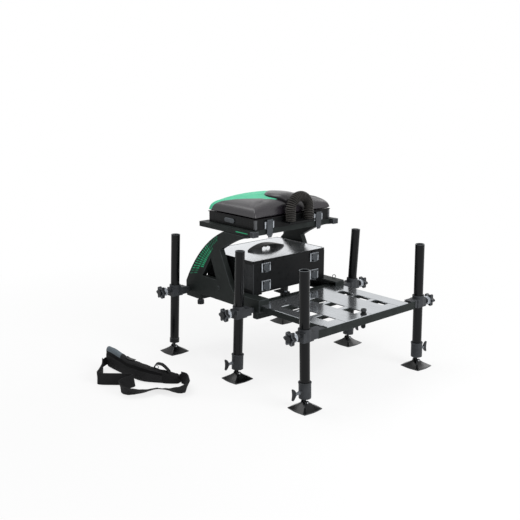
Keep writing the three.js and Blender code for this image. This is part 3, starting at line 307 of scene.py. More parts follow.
@dataclass(frozen=True)
class Leather(Finish):
    """Grained upholstery: pebbled cells over broader creases."""

    pebble: float = 620.0
    spread: float = 0.12

    def weave(self, graph: Graph) -> None:
        """Cells and creases in the bump, with the valleys darker and duller.

        Args:
            graph: The material's graph.
        """
        where = graph.place()
        cells = graph.cells(where, self.pebble)
        creases = graph.noise(where, scale=55, detail=5, rough=0.6)
        broad = graph.noise(where, scale=9, detail=2)
        share = graph.range(creases * 0.5 + broad * 0.5, 0.32, 0.68)
        height = cells * 0.5 + creases * 0.9
        graph.surface(
            Base_Color=self.tones(graph, share, self.spread),
            Roughness=graph.range(cells, 0.1, 0.7, self.roughness - 0.05, self.roughness + 0.1),
            Specular_IOR_Level=self.specular,
            Normal=graph.bump(height, depth=0.0003, strength=0.3),
        )


@dataclass(frozen=True)
class Woven(Finish):
    """Cloth or webbing: crossing threads in the bump and the colour."""

    pitch: float = 1300.0
    spread: float = 0.3

    def weave(self, graph: Graph) -> None:
        """Crossed waves on the three axes, with some fuzz.

        Args:
            graph: The material's graph.
        """
        where = graph.place()
        x, y, z = graph.split(where)
        across = graph.math("SINE", (x + y) * self.pitch)
        along = graph.math("SINE", z * self.pitch)
        fuzz = graph.noise(where, scale=300, detail=3)
        threads = (across * along) * 0.5 + 0.5
        share = graph.range(threads * 0.5 + fuzz * 0.5, 0.2, 0.8)
        graph.surface(
            Base_Color=self.tones(graph, share, self.spread),
            Roughness=graph.range(fuzz, 0.3, 0.7, self.roughness - 0.08, self.roughness + 0.06),
            Specular_IOR_Level=self.specular,
            Normal=graph.bump(threads + fuzz, depth=0.00025, strength=0.6),
        )


# The lighter *_EDGE greys paint rounded edges and small rims lighter than their faces: partly wear, partly painted
# highlight.
TUBE = Coated("tube_satin", (10, 11, 13), 0.2, specular=0.2, stretch=(1, 1, 0.15), spread=0.16)
TUBE_EDGE = Coated("tube_worn_edge", (92, 96, 99), 0.4, specular=0.2)
RIM = Coated("tube_rim", (118, 122, 126), 0.4, specular=0.25)
STEM = Coated("stem_anodised", (20, 21, 22), 0.3, specular=0.15, stretch=(1, 1, 0.1))
CASTING = Coated("clamp_casting", (52, 54, 57), 0.46, specular=0.16, grain=620, depth=0.00009)
CASTING_EDGE = Coated("clamp_worn_edge", (98, 103, 107), 0.45, specular=0.2)
KNOB = Coated("knob_moulding", (30, 32, 35), 0.36, specular=0.2, depth=0.00003)
KNOB_EDGE = Coated("knob_worn_edge", (92, 96, 101), 0.36, specular=0.25)
FRAME = Coated("frame_coat", (33, 37, 36), 0.48, specular=0.1, depth=0.00006)
FRAME_EDGE = Coated("frame_worn_edge", (58, 62, 63), 0.45, specular=0.12)
SHELL = Coated("shell_moulding", (17, 18, 19), 0.3, specular=0.12, depth=0.00005)
SHELL_EDGE = Coated("shell_light_wear_and_highlight", (50, 52, 54), 0.4, specular=0.15)
POST = Coated("post_extrusion", (70, 72, 75), 0.3, specular=0.5, stretch=(1, 1, 0.1))
CASE_POST = Coated("case_post_extrusion", (66, 68, 70), 0.45, specular=0.12, stretch=(1, 1, 0.1))
LATCH = Brushed("latch_steel", (120, 124, 130), 0.36, 0.3, specular=0.3, along=(9, 400, 400))
# LATCH_EDGE paints highlights on the latches' rounded edges, raised sides and teeth.
LATCH_EDGE = Coated("latch_bright_edge", (166, 171, 177), 0.35, specular=0.4)
LEVER = Coated("latch_lever_coat", (60, 64, 68), 0.36, specular=0.3, depth=0.00003)
RECESS_SHADE = Coated("latch_recess", (20, 21, 22), 0.5, specular=0.1)
PULL = Coated("pull_moulding", (80, 84, 88), 0.4, specular=0.2)
PANEL = Brushed("lid_panel", (226, 229, 233), 0.16, 0.9, specular=0.5, along=(6, 500, 500), spread=0.04)
LID_EDGE = Brushed(
    "lid_bright_edge", (222, 225, 229), 0.2, 0.9, specular=0.5, along=(6, 500, 500), spread=0.04,
)
DECK = Brushed("deck_plate", (188, 192, 196), 0.14, 0.9, specular=0.5, along=(260, 5, 260), spread=0.06)
SEAM = Coated("deck_seam", (24, 25, 26), 0.6, specular=0.1)
STEEL = Brushed("bright_steel", (176, 179, 182), 0.26, 0.9, specular=0.5, along=(300, 300, 10))
NECK = Brushed("knob_neck_steel", (176, 181, 187), 0.3, 0.6, specular=0.5, along=(6, 300, 300))
RUBBER = Coated("ribbed_rubber", (58, 56, 54), 0.5, specular=0.16, grain=400, depth=0.0001)
RUBBER_SHADE = Coated("rubber_painted_shade", (8, 8, 8), 0.6, specular=0.05, grain=400, depth=0.0001)
HANDLE = Coated("handle_moulding", (20, 21, 22), 0.38, specular=0.15, depth=0.00006)
HANDLE_EDGE = Coated("handle_light_wear_and_highlight", (54, 57, 60), 0.4, specular=0.2)
PAD = Coated("foot_moulding", (11, 11, 12), 0.2, specular=0.25, depth=0.00003)
PAD_EDGE = Coated("foot_edge_wear_and_highlight", (58, 61, 64), 0.3, specular=0.35)
LEATHER = Leather("seat_leather", (27, 23, 29), 0.22, specular=0.6)
LEATHER_DARK = Leather("seat_leather_seam", (20, 18, 21), 0.5, specular=0.15)
MINT = Leather("seat_panel", (84, 194, 154), 0.5, specular=0.25, spread=0.05)
GREEN = Coated("green_paint", (52, 176, 124), 0.5, specular=0.15, spread=0.08)
GREEN_DIM = Coated("green_dimmer_paint", (42, 112, 84), 0.5, specular=0.12, spread=0.12)
CLOTH = Woven("strap_cloth", (42, 42, 43), 0.85, specular=0.1)
CLOTH_GREY = Woven("strap_patch", (96, 104, 110), 0.8, specular=0.12)
CLOTH_EDGE = Woven("strap_binding", (18, 18, 19), 0.8, specular=0.1)
WEBBING = Woven("strap_webbing_weave", (33, 33, 34), 0.8, specular=0.1, pitch=2100)


class Bench:
    """Models pieces as at a workbench, one operation after another."""

    pressure: float = 4
    blow_frames: int = 20
    soft_angle: Number = 60

    def clear(self) -> None:
        """Leaves object mode tidy, with nothing selected."""
        if bpy.context.mode != "OBJECT":
            bpy.ops.object.mode_set(mode="OBJECT")
        bpy.ops.object.select_all(action="DESELECT")

    def take(self, piece: Piece) -> Piece:
        """Selects one piece alone and makes it active.

        Args:
            piece: The piece.

        Returns:
            The same piece.
        """
        self.clear()
        piece.select_set(True)
        bpy.context.view_layer.objects.active = piece
        return piece

    @contextmanager
    def editing(self, piece: Piece, picked: bool = True) -> Iterator[None]:
        """Edit mode on a piece, with all of it or none of it selected.

        Args:
            piece: The piece.
            picked: True to select all of it, False to select nothing.

        Yields:
            Nothing. Edit mode is left at the end.
        """
        self.take(piece)
        bpy.ops.object.mode_set(mode="EDIT")
        bpy.ops.mesh.select_all(action="SELECT" if picked else "DESELECT")
        yield
        bpy.ops.object.mode_set(mode="OBJECT")

    @contextmanager
    def editing_faces(self, piece: Piece, test: Callable[[Vector], bool]) -> Iterator[None]:
        """Edit mode on the faces whose normal passes a test.

        Args:
            piece: The piece.
            test: Tells from a face's normal whether it is selected.

        Yields:
            Nothing. Edit mode is left at the end.
        """
        with self.editing(piece, picked=False):
            bpy.ops.mesh.select_mode(type="FACE")
        for face in piece.data.polygons:
            face.select = test(face.normal)
        self.take(piece)
        bpy.ops.object.mode_set(mode="EDIT")
        yield
        bpy.ops.mesh.select_mode(type="VERT")
        bpy.ops.object.mode_set(mode="OBJECT")

    def settle(self, name: str) -> Piece:
        """Names the active piece and puts its place into its mesh.

        Args:
            name: The piece's name.

        Returns:
            The piece.
        """
        piece = bpy.context.active_object
        piece.name = piece.data.name = name
        bpy.ops.object.transform_apply(location=True, rotation=True, scale=True)
        return piece

    def block(self, name: str, low: Sequence[Number], high: Sequence[Number]) -> Piece:
        """A block between two corners, in millimetres.

        Args:
            name: The piece's name.
            low: One corner, in millimetres.
            high: The opposite corner, in millimetres.

        Returns:
            The piece.
        """
        self.clear()
        corners = at(*low), at(*high)
        bpy.ops.mesh.primitive_cube_add(size=1, location=(corners[0] + corners[1]) / 2)
        bpy.context.active_object.scale = [abs(v) for v in corners[1] - corners[0]]
        return self.settle(name)

    def rod(
        self, name: str, axis: Axis, radius: Number, start: Vector, length: Number, sides: int = 32,
    ) -> Piece:
        """A round rod.

        Args:
            name: The piece's name.
            axis: The way it points.
            radius: In millimetres.
            start: Middle of its first end, in metres.
            length: In millimetres.
            sides: How many faces go round it.

        Returns:
            The piece.
        """
        self.clear()
        bpy.ops.mesh.primitive_cylinder_add(vertices=sides, radius=radius * MM, depth=length * MM)
        piece = bpy.context.active_object
        piece.matrix_world = Matrix.Translation(start + axis.value * (length * MM / 2)) @ axis.turn()
        return self.settle(name)

    def turned(
        self, name: str, profile: Sequence[Pair], base: Vector, axis: Vector, steps: int = 48,
    ) -> Piece:
        """A turned piece: a profile of (radius, height) pairs spun about an axis.

        Args:
            name: The piece's name.
            profile: Points from one end to the other, in millimetres.
            base: Where radius 0 and height 0 is, in metres.
            axis: Unit vector of the heights.
            steps: How many steps the spin takes.

        Returns:
            The piece.
        """
        self.clear()
        bpy.ops.mesh.primitive_circle_add(vertices=len(profile), radius=1)
        piece = bpy.context.active_object
        for vertex, (radius, height) in zip(piece.data.vertices, profile):
            vertex.co = (radius * MM, 0, height * MM)
        with self.editing(piece, picked=False):
            bpy.ops.mesh.select_mode(type="VERT")
        last = len(profile) - 1
        for edge in piece.data.edges:
            edge.select = set(edge.vertices) == {0, last}
        closes = profile[0][0] == 0 and profile[last][0] == 0
        if closes:
            self.take(piece)
            bpy.ops.object.mode_set(mode="EDIT")
            bpy.ops.mesh.select_mode(type="EDGE")
            bpy.ops.mesh.delete(type="EDGE")
            bpy.ops.mesh.select_mode(type="VERT")
            bpy.ops.object.mode_set(mode="OBJECT")
        with self.editing(piece):
            bpy.ops.mesh.spin(steps=steps, angle=2 * math.pi, center=(0, 0, 0), axis=(0, 0, 1))
            bpy.ops.mesh.select_all(action="SELECT")
            bpy.ops.mesh.remove_doubles(threshold=0.00002)
            bpy.ops.mesh.normals_make_consistent(inside=False)
        self.take(piece)
        turn = Vector((0, 0, 1)).rotation_difference(axis).to_matrix().to_4x4()
        piece.matrix_world = Matrix.Translation(base) @ turn
        return self.settle(name)

    def ring(
        self, name: str, radius: Number, wire: Number, place: Vector, turn: Number, steps: tuple[int, int],
    ) -> Piece:
        """An upright ring of wire.

        Args:
            name: The piece's name.
            radius: To the middle of the wire, in millimetres.
            wire: The wire's own radius, in millimetres.
            place: The ring's middle, in metres.
            turn: How far it is turned about the vertical, in degrees.
            steps: How many faces go along the wire and round it.

        Returns:
            The piece.
        """
        self.clear()
        bpy.ops.mesh.primitive_torus_add(
            major_radius=radius * MM, minor_radius=wire * MM, major_segments=steps[0],
            minor_segments=steps[1], location=place, rotation=(math.radians(90), 0, math.radians(turn)),
        )
        return self.settle(name)

    def slab(self, name: str, outline: Sequence[Vector], reach: Vector) -> Piece:
        """An outline, filled and extruded by a vector, all in metres.

        Args:
            name: The piece's name.
            outline: The points round it.
            reach: How far and which way it is extruded.

        Returns:
            The piece.
        """
        self.clear()
        bpy.ops.mesh.primitive_circle_add(vertices=len(outline), radius=1, fill_type="NGON")
        piece = bpy.context.active_object
        for vertex, point in zip(piece.data.vertices, outline):
            vertex.co = point
        with self.editing(piece):
            bpy.ops.mesh.extrude_region_move(TRANSFORM_OT_translate={"value": tuple(reach)})
            bpy.ops.mesh.select_all(action="SELECT")
            bpy.ops.mesh.normals_make_consistent(inside=False)
        return self.settle(name)

    def loft(self, name: str, rings: Sequence[Sequence[Vector]], closed: bool = False) -> Piece:
        """A skin over rings of points, capped at both ends or closed into a loop.

        Args:
            name: The piece's name.
            rings: Rings with the same number of points, in metres.
            closed: True where the last ring meets the first.

        Returns:
            The piece.
        """
        count = len(rings[0])
        faces = []
        for r in range(len(rings) if closed else len(rings) - 1):
            here, above = r * count, ((r + 1) % len(rings)) * count
            for k in range(count):
                following = (k + 1) % count
                faces.append((here + k, here + following, above + following, above + k))
        if not closed:
            faces.append(tuple(range(count - 1, -1, -1)))
            faces.append(tuple((len(rings) - 1) * count + k for k in range(count)))
        mesh = bpy.data.meshes.new(name)
        mesh.from_pydata([tuple(point) for ring in rings for point in ring], [], faces)
        piece = bpy.data.objects.new(name, mesh)
        bpy.context.scene.collection.objects.link(piece)
        with self.editing(piece):
            bpy.ops.mesh.normals_make_consistent(inside=False)
        return piece

    def copy(self, node: str, name: str) -> Piece:
        """A merged copy of a CAD node, ready to be worked on.

        Args:
            node: The CAD node.
            name: The copy's name.

        Returns:
            The copy.
        """
        source = frame["nodes"][node]
        piece = bpy.data.objects.new(name, source.data.copy())
        piece.data.name = name
        bpy.context.scene.collection.objects.link(piece)
        piece.data.materials.clear()
        self.take(piece)
        if piece.data.has_custom_normals:
            bpy.ops.mesh.customdata_custom_splitnormals_clear()
        with self.editing(piece):
            bpy.ops.mesh.remove_doubles(threshold=0.00001)
            bpy.ops.mesh.dissolve_limited(angle_limit=math.radians(0.6))
        return piece

    def apply(self, piece: Piece, kind: str, **settings: Any) -> Piece:
        """Adds a modifier with its settings and applies it.

        Args:
            piece: The piece.
            kind: The modifier's type.
            settings: Its properties by name.

        Returns:
            The same piece.
        """
        self.take(piece)
        modifier = piece.modifiers.new(kind.title(), kind)
        for name, value in settings.items():
            setattr(modifier, name, value)
        bpy.ops.object.modifier_apply(modifier=modifier.name)
        return piece

    def bevel(
        self, piece: Piece, width: Number, segments: int = 2, material: int = -1, angle: Number = 32,
    ) -> Piece:
        """Rounds the sharp edges of a piece.

        Args:
            piece: The piece.
            width: How wide the edges are rounded, in millimetres.
            segments: Faces across each rounding.
            material: The slot of the new faces' finish, or -1 for that of their neighbours.
            angle: Edges that bend less than this stay, in degrees.

        Returns:
            The same piece.
        """
        return self.apply(
            piece, "BEVEL", width=width * MM, segments=segments, limit_method="ANGLE",
            angle_limit=math.radians(angle), material=material, use_clamp_overlap=True, harden_normals=False,
        )

    def cut(self, piece: Piece, tool: Piece) -> Piece:
        """Takes a tool's shape out of a piece and puts the tool away.

        Args:
            piece: The piece.
            tool: The shape that is taken out.

        Returns:
            The same piece.
        """
        self.apply(piece, "BOOLEAN", operation="DIFFERENCE", solver="EXACT", object=tool)
        bpy.data.objects.remove(tool)
        return piece

    def join(self, name: str, pieces: Sequence[Piece]) -> Piece:
        """Makes several pieces one mesh; the first one's name gives way to the new one.

        Args:
            name: The piece's name.
            pieces: The pieces, the leading one first.

        Returns:
            The joined piece.
        """
        self.clear()
        for piece in pieces:
            piece.select_set(True)
        bpy.context.view_layer.objects.active = pieces[0]
        bpy.ops.object.join()
        pieces[0].name = pieces[0].data.name = name
        return pieces[0]

    def blow(self, piece: Piece, held: Sequence[int], cap: Number) -> None:
        """Blows a padded piece up with cloth pressure.

        Args:
            piece: The closed mesh.
            held: Points that stay where they are.
            cap: The furthest that a point may move, in millimetres.
        """
        start = [vertex.co.copy() for vertex in piece.data.vertices]
        group = piece.vertex_groups.new(name="held")
        group.add(list(held), 1.0, "REPLACE")
        self.take(piece)
        cloth = piece.modifiers.new("Cloth", "CLOTH")
        cloth.settings.use_pressure = True
        cloth.settings.uniform_pressure_force = self.pressure
        cloth.settings.effector_weights.gravity = 0
        cloth.settings.vertex_group_mass = "held"
        cloth.settings.quality = 4
        cloth.point_cache.frame_start, cloth.point_cache.frame_end = 1, self.blow_frames
        scene = bpy.context.scene
        for number in range(1, self.blow_frames + 1):
            scene.frame_set(number)
        bpy.ops.object.modifier_apply(modifier=cloth.name)
        scene.frame_set(1)
        for vertex, before in zip(piece.data.vertices, start):
            move = vertex.co - before
            if move.length > cap * MM:
                vertex.co = before + move * (cap * MM / move.length)
        piece.vertex_groups.clear()

    def smooth(self, piece: Piece, angle: Number = 34) -> Piece:
        """Smooth shading up to an angle; flat faces stay flat beside their rounded edges.

        Args:
            piece: The piece.
            angle: Edges that bend more than this stay sharp, in degrees.

        Returns:
            The same piece.
        """
        self.take(piece)
        bpy.ops.object.shade_smooth_by_angle(angle=math.radians(angle))
        if angle < self.soft_angle:
            self.apply(piece, "WEIGHTED_NORMAL", mode="FACE_AREA", weight=50, keep_sharp=True)
        return piece


BENCH = Bench()


class Shop:
    """Puts finished pieces on the object: finish, body and what they stand for."""

    count = 0

    def paint(self, piece: Piece, *finishes: Finish) -> Piece:
        """Gives a piece its finishes, in slot order.

        Args:
            piece: The piece.
            finishes: The finishes, one for each slot.

        Returns:
            The same piece.
        """
        piece.data.materials.clear()
        for finish in finishes:
            piece.data.materials.append(finish.material())
        return piece

    def fit(self, piece: Piece, body: str, slot: str, *nodes: str) -> Piece:
        """Makes a piece ride on a body and stand for CAD nodes.

        Args:
            piece: The finished piece.
            body: The body that it moves with.
            slot: The record's material slot; not used.
            nodes: CAD nodes that it replaces.

        Returns:
            The piece.
        """
        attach(piece, body)
        if nodes:
            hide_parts(*nodes)
        Shop.count += 1
        LOG.info("%s on %s (%d faces)", piece.name, body, len(piece.data.polygons))
        return piece

    def dress(
        self, node: str, finish: Finish, edge: Optional[Finish] = None,
        width: Number = 0.8, segments: int = 2,
    ) -> Piece:
        """Replaces a CAD node by its own shape with rounded edges, which an edge finish paints lighter as wear and
        painted highlight.

        Args:
            node: The CAD node.
            finish: The finish of its faces.
            edge: The lighter finish of the rounded edges, if it differs: wear and painted highlight.
            width: How wide the edges are rounded, in millimetres.
            segments: Faces across each rounding.

        Returns:
            The piece.
        """
        piece = BENCH.copy(node, node + "_dressed")
        self.paint(piece, finish, edge or finish)
        BENCH.bevel(piece, width, segments, 1 if edge else -1)
        BENCH.smooth(piece)
        return self.fit(piece, BODY_OF[node], SLOT_OF[node], node)


SHOP = Shop()


@dataclass
class Legs:
    """The six legs with their tubes, stems, foot pads, clamps, knobs and screws."""

    collar_radius: float = 22
    collar_top: float = 98
    pad_side: float = 85
    pad_bulge: float = 4.5
    pad_rim: float = 3
    pad_rings: Path = (
        (1, 0), (0.86, 0.13), (0.72, 0.27), (0.46, 0.56), (0.28, 0.84), (0.24, 0.9),
    )
    pad_rise: float = 24
    ear_reach: float = 12.5
    ear_top: float = 32
    ear_round: float = 9
    ear_thick: float = 4.3
    foot_screw: Path = ((0, 0), (3.4, 0), (3.4, 1.6), (2.2, 2.4), (0, 2.4))
    collar_inside: float = 20.3
    knob_radius: float = 22
    knob_lobes: int = 6
    lobe_height: float = 3.8
    neck_radius: float = 15.5
    neck_rib: float = 1.1
    hub_radius: float = 12
    dish_border: float = 3.2
    dish_depth: float = 2.2
    wing: Path = (
        (0, 4), (4, 6), (7.5, 11.5), (12, 17.5), (17.5, 21), (20.5, 20.6), (21.8, 18.4), (20.6, 12),
        (19.4, 5),
    )
    wing_length: float = 21.8
    wing_half: float = 3.3
    wing_border: float = 1.9
    wing_sunk: float = 1.2
    shank: Path = ((0, 0), (6.6, 0), (6.6, 2.6), (5, 4), (5, 14), (3.2, 18), (0, 18))

    def build(self) -> None:
        """Dresses every leg."""
        for place in PLACES:
            self.tube(place)
            self.foot(place)
            self.clamp(place)
            self.knob(place)
            if place.startswith("rear"):
                SHOP.dress(f"{place}_leg_plug", TUBE, TUBE_EDGE, 0.6)
            else:
                SHOP.dress(f"{place}_leg_stem", STEM, width=0.4)
                self.collar_lip(place)
                self.wing_screw(place)

    def side(self, place: str) -> int:
        """-1 on the left and 1 on the right."""
        return SIDES[place.split("_")[1]]

    def tube(self, place: str) -> None:
        """The tube, with a bright rim round its recessed end cap.

        Args:
            place: The leg, such as front_left.
        """
        node = f"{place}_leg_tube"
        piece = BENCH.copy(node, node + "_dressed")
        # The rounded edges take the lighter tube grey: wear and painted highlight.
        SHOP.paint(piece, TUBE, TUBE_EDGE, RIM, CASTING)
        BENCH.bevel(piece, 0.9, 2, 1)
        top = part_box(node)[1].z
        pivot = joint_place(f"{place}_foot_tilt")
        axis = joint_axis(f"{place}_leg_slide")
        for face in piece.data.polygons:
            reach = face.center - pivot
            off_axis = (reach - axis * reach.dot(axis)).length
            if face.normal.z > 0.9 and face.center.z > top - 0.002:
                face.material_index = 2
            elif off_axis > self.collar_inside * MM and face.center.z < (self.collar_top + 1) * MM:
                face.material_index = 3
        BENCH.smooth(piece)
        SHOP.fit(piece, BODY_OF[node], SLOT_OF[node], node)

    def collar_lip(self, place: str) -> None:
        """The flared dark lip at the top of the collar.

        Args:
            place: The leg, such as front_left.
        """
        axis = joint_axis(f"{place}_stem_slide")
        axis = axis if axis.z > 0 else -axis
        pivot = joint_place(f"{place}_foot_tilt")
        base = pivot + axis * ((self.collar_top * MM - pivot.z) / axis.z)
        r = self.collar_radius
        profile = [(18.2, -4), (r + 0.3, -5), (r + 1.3, -1.5), (r + 1.4, 0.6), (r + 0.6, 1.4), (18.2, 1.4)]
        lip = BENCH.turned(f"{place}_collar_lip", profile, base, axis)
        SHOP.paint(lip, CASTING)
        BENCH.smooth(lip, 40)
        SHOP.fit(lip, BODY_OF[f"{place}_leg_tube"], "tube")

    def pad_ring(self, middle: Vector, share: float, height: float) -> list[Vector]:
        """A square ring whose sides bulge outwards.

        Args:
            middle: Middle of the pad on the floor, in metres.
            share: The ring's size as a share of the pad's.
            height: In millimetres.

        Returns:
            The ring's points, from one corner round.
        """
        ring = []
        for k in range(48):
            turn = ((k % 12) / 12 - 0.5) * math.pi / 2
            flat = (math.cos(turn) * math.sqrt(2) - 1) / (math.sqrt(2) - 1)
            radius = share * (self.pad_side / 2 / math.cos(turn) + self.pad_bulge * flat)
            angle = turn + (k // 12) * math.pi / 2
            ring.append(middle + Vector((radius * math.cos(angle), radius * math.sin(angle), height)) * MM)
        return ring

    def foot(self, place: str) -> None:
        """The foot pad: a glossy pyramid, two ears at the ball and a bright screw through them.

        Args:
            place: The leg, such as front_left.
        """
        node = f"{place}_foot_pad"
        ball = joint_place(f"{place}_foot_tilt")
        middle = Vector((ball.x, ball.y, 0))
        rings = [self.pad_ring(middle, 1, 0)]
        for share, up in self.pad_rings:
            rings.append(self.pad_ring(middle, share, self.pad_rim + up * self.pad_rise))
        pyramid = BENCH.loft("pyramid", rings)
        # The rounded edges and ridges take the lighter foot grey: wear and painted highlight.
        SHOP.paint(pyramid, PAD, PAD_EDGE)
        BENCH.bevel(pyramid, 0.9, 2, 1, 40)
        parts = [pyramid]
        for hand in (-1, 1):
            parts.append(self.ear(middle, hand))
            start = Vector((ball.x, ball.y + hand * self.ear_reach * MM, ball.z + 0.0005))
            head = BENCH.turned("head", self.foot_screw, start, Vector((0, hand, 0)), 24)
            parts.append(SHOP.paint(head, STEEL))
        whole = BENCH.join(node + "_dressed", parts)
        BENCH.smooth(whole, 36)
        SHOP.fit(whole, BODY_OF[node], SLOT_OF[node], node)

    def ear(self, middle: Vector, hand: int) -> Piece:
        """One of the two upright ears that hold the ball.

        Args:
            middle: Middle of the pad on the floor, in metres.
            hand: The side of the ball along Y, -1 or 1.

        Returns:
            The ear.
        """
        points = []
        for k in range(15):
            angle = math.pi * k / 14
            up = self.ear_top - self.ear_round + self.ear_round * math.sin(angle)
            points.append((self.ear_round * math.cos(angle), up))
        points = [(15, 8)] + points + [(-15, 8)]
        near, far = self.ear_reach, self.ear_reach - self.ear_thick
        outline = [middle + Vector((x, hand * near, z)) * MM for x, z in points]
        ear = BENCH.slab("ear", outline, Vector((0, hand * (far - near) * MM, 0)))
        # The rounded edges take the lighter foot grey: wear and painted highlight.
        SHOP.paint(ear, PAD, PAD_EDGE)
        return BENCH.bevel(ear, 0.8, 2, 1)

    def clamp(self, place: str) -> None:
        """The cast clamp with its collar ring and boss."""
        SHOP.dress(f"{place}_leg_clamp", CASTING, CASTING_EDGE, 1.6, 3)

    def knob(self, place: str) -> None:
        """The star knob: a lobed flange on a bright ribbed neck.

        Args:
            place: The leg, such as front_left.
        """
        node = f"{place}_clamp_knob"
        low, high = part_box(node)
        side = self.side(place)
        centre = joint_place(f"{place}_clamp_screw_turn")
        inner = (low.x if side > 0 else high.x) + side * 0.0045
        outer = (high.x if side > 0 else low.x) - side * 0.0045
        start = outer - side * abs(outer - inner) * 0.5
        count = self.knob_lobes * 12
        waves = [math.cos(self.knob_lobes * (2 * math.pi * i / count)) for i in range(count)]
        lobes = self.around(start, centre, [self.knob_radius + self.lobe_height * wave for wave in waves])
        flange = BENCH.slab("flange", lobes, Vector((outer - start, 0, 0)))
        self.dish(flange, side)
        # The rounded edges take the lighter knob grey: wear and painted highlight.
        SHOP.paint(flange, KNOB, KNOB_EDGE)
        BENCH.bevel(flange, 1.4, 2, 1)
        heights = [self.neck_rib if i % 4 < 2 else -self.neck_rib for i in range(72)]
        ribs = self.around(inner, centre, [self.neck_radius + height for height in heights])
        neck = BENCH.slab("neck", ribs, Vector((start - inner + side * 0.001, 0, 0)))
        BENCH.bevel(neck, 0.4, 1)
        SHOP.paint(neck, NECK)
        begin = Vector((min(low.x, high.x), centre.y, centre.z))
        hub = BENCH.rod("hub", Axis.X, self.hub_radius, begin, (high.x - low.x) / MM, 32)
        BENCH.bevel(hub, 1.0, 2)
        SHOP.paint(hub, KNOB)
        whole = BENCH.join(node + "_dressed", [flange, neck, hub])
        BENCH.smooth(whole)
        SHOP.fit(whole, BODY_OF[node], SLOT_OF[node], node)

    def around(self, x: float, centre: Vector, radii: Sequence[float]) -> list[Vector]:
        """Points round an axis along X, evenly spaced in angle.

        Args:
            x: Where they lie on the axis, in metres.
            centre: A point of the axis, in metres.
            radii: The distance of each from the axis, in millimetres.

        Returns:
            The points, in metres.
        """
        points = []
        for i, radius in enumerate(radii):
            angle = 2 * math.pi * i / len(radii)
            y = centre.y + radius * MM * math.cos(angle)
            points.append(Vector((x, y, centre.z + radius * MM * math.sin(angle))))
        return points

    def dish(self, flange: Piece, side: int) -> None:
        """Sinks the knob's outer face inside its rim.

        Args:
            flange: The knob's flange.
            side: -1 on the left and 1 on the right.
        """
        with BENCH.editing_faces(flange, lambda normal: normal.x * side > 0.9):
            bpy.ops.mesh.inset(thickness=self.dish_border * MM, use_even_offset=True)
            bpy.ops.transform.translate(value=(-side * self.dish_depth * MM, 0, 0))

    def wing_screw(self, place: str) -> None:
        """The wing screw of the telescopic stem: two leaf-shaped wings with sunk faces on a shank.

        Args:
            place: The leg, such as front_left.
        """
        node = f"{place}_stem_knob"
        low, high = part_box(node)
        side = self.side(place)
        y = (low.y + high.y) / 2
        middle = (low.z + high.z) / 2
        end = high.x if side > 0 else low.x
        profile = list(self.wing) + [(d, -z) for d, z in reversed(self.wing)]
        near = y - self.wing_half * MM
        outline = [
            Vector((end + side * (d - self.wing_length) * MM, near, middle + z * MM)) for d, z in profile
        ]
        wings = BENCH.slab("wings", outline, Vector((0, self.wing_half * 2 * MM, 0)))
        with BENCH.editing_faces(wings, lambda normal: abs(normal.y) > 0.9):
            bpy.ops.mesh.inset(
                thickness=self.wing_border * MM, depth=-self.wing_sunk * MM, use_even_offset=True,
            )
        # The wings' rounded edges take the lighter casting grey: wear and painted highlight.
        SHOP.paint(wings, KNOB, CASTING)
        BENCH.bevel(wings, 0.7, 2, 1)
        start = low.x if side > 0 else high.x
        shank = BENCH.turned("shank", self.shank, Vector((start, y, middle)), Vector((side, 0, 0)), 32)
        SHOP.paint(shank, KNOB_EDGE)
        whole = BENCH.join(node + "_dressed", [wings, shank])
        BENCH.smooth(whole, 36)
        SHOP.fit(whole, BODY_OF[node], SLOT_OF[node], node)


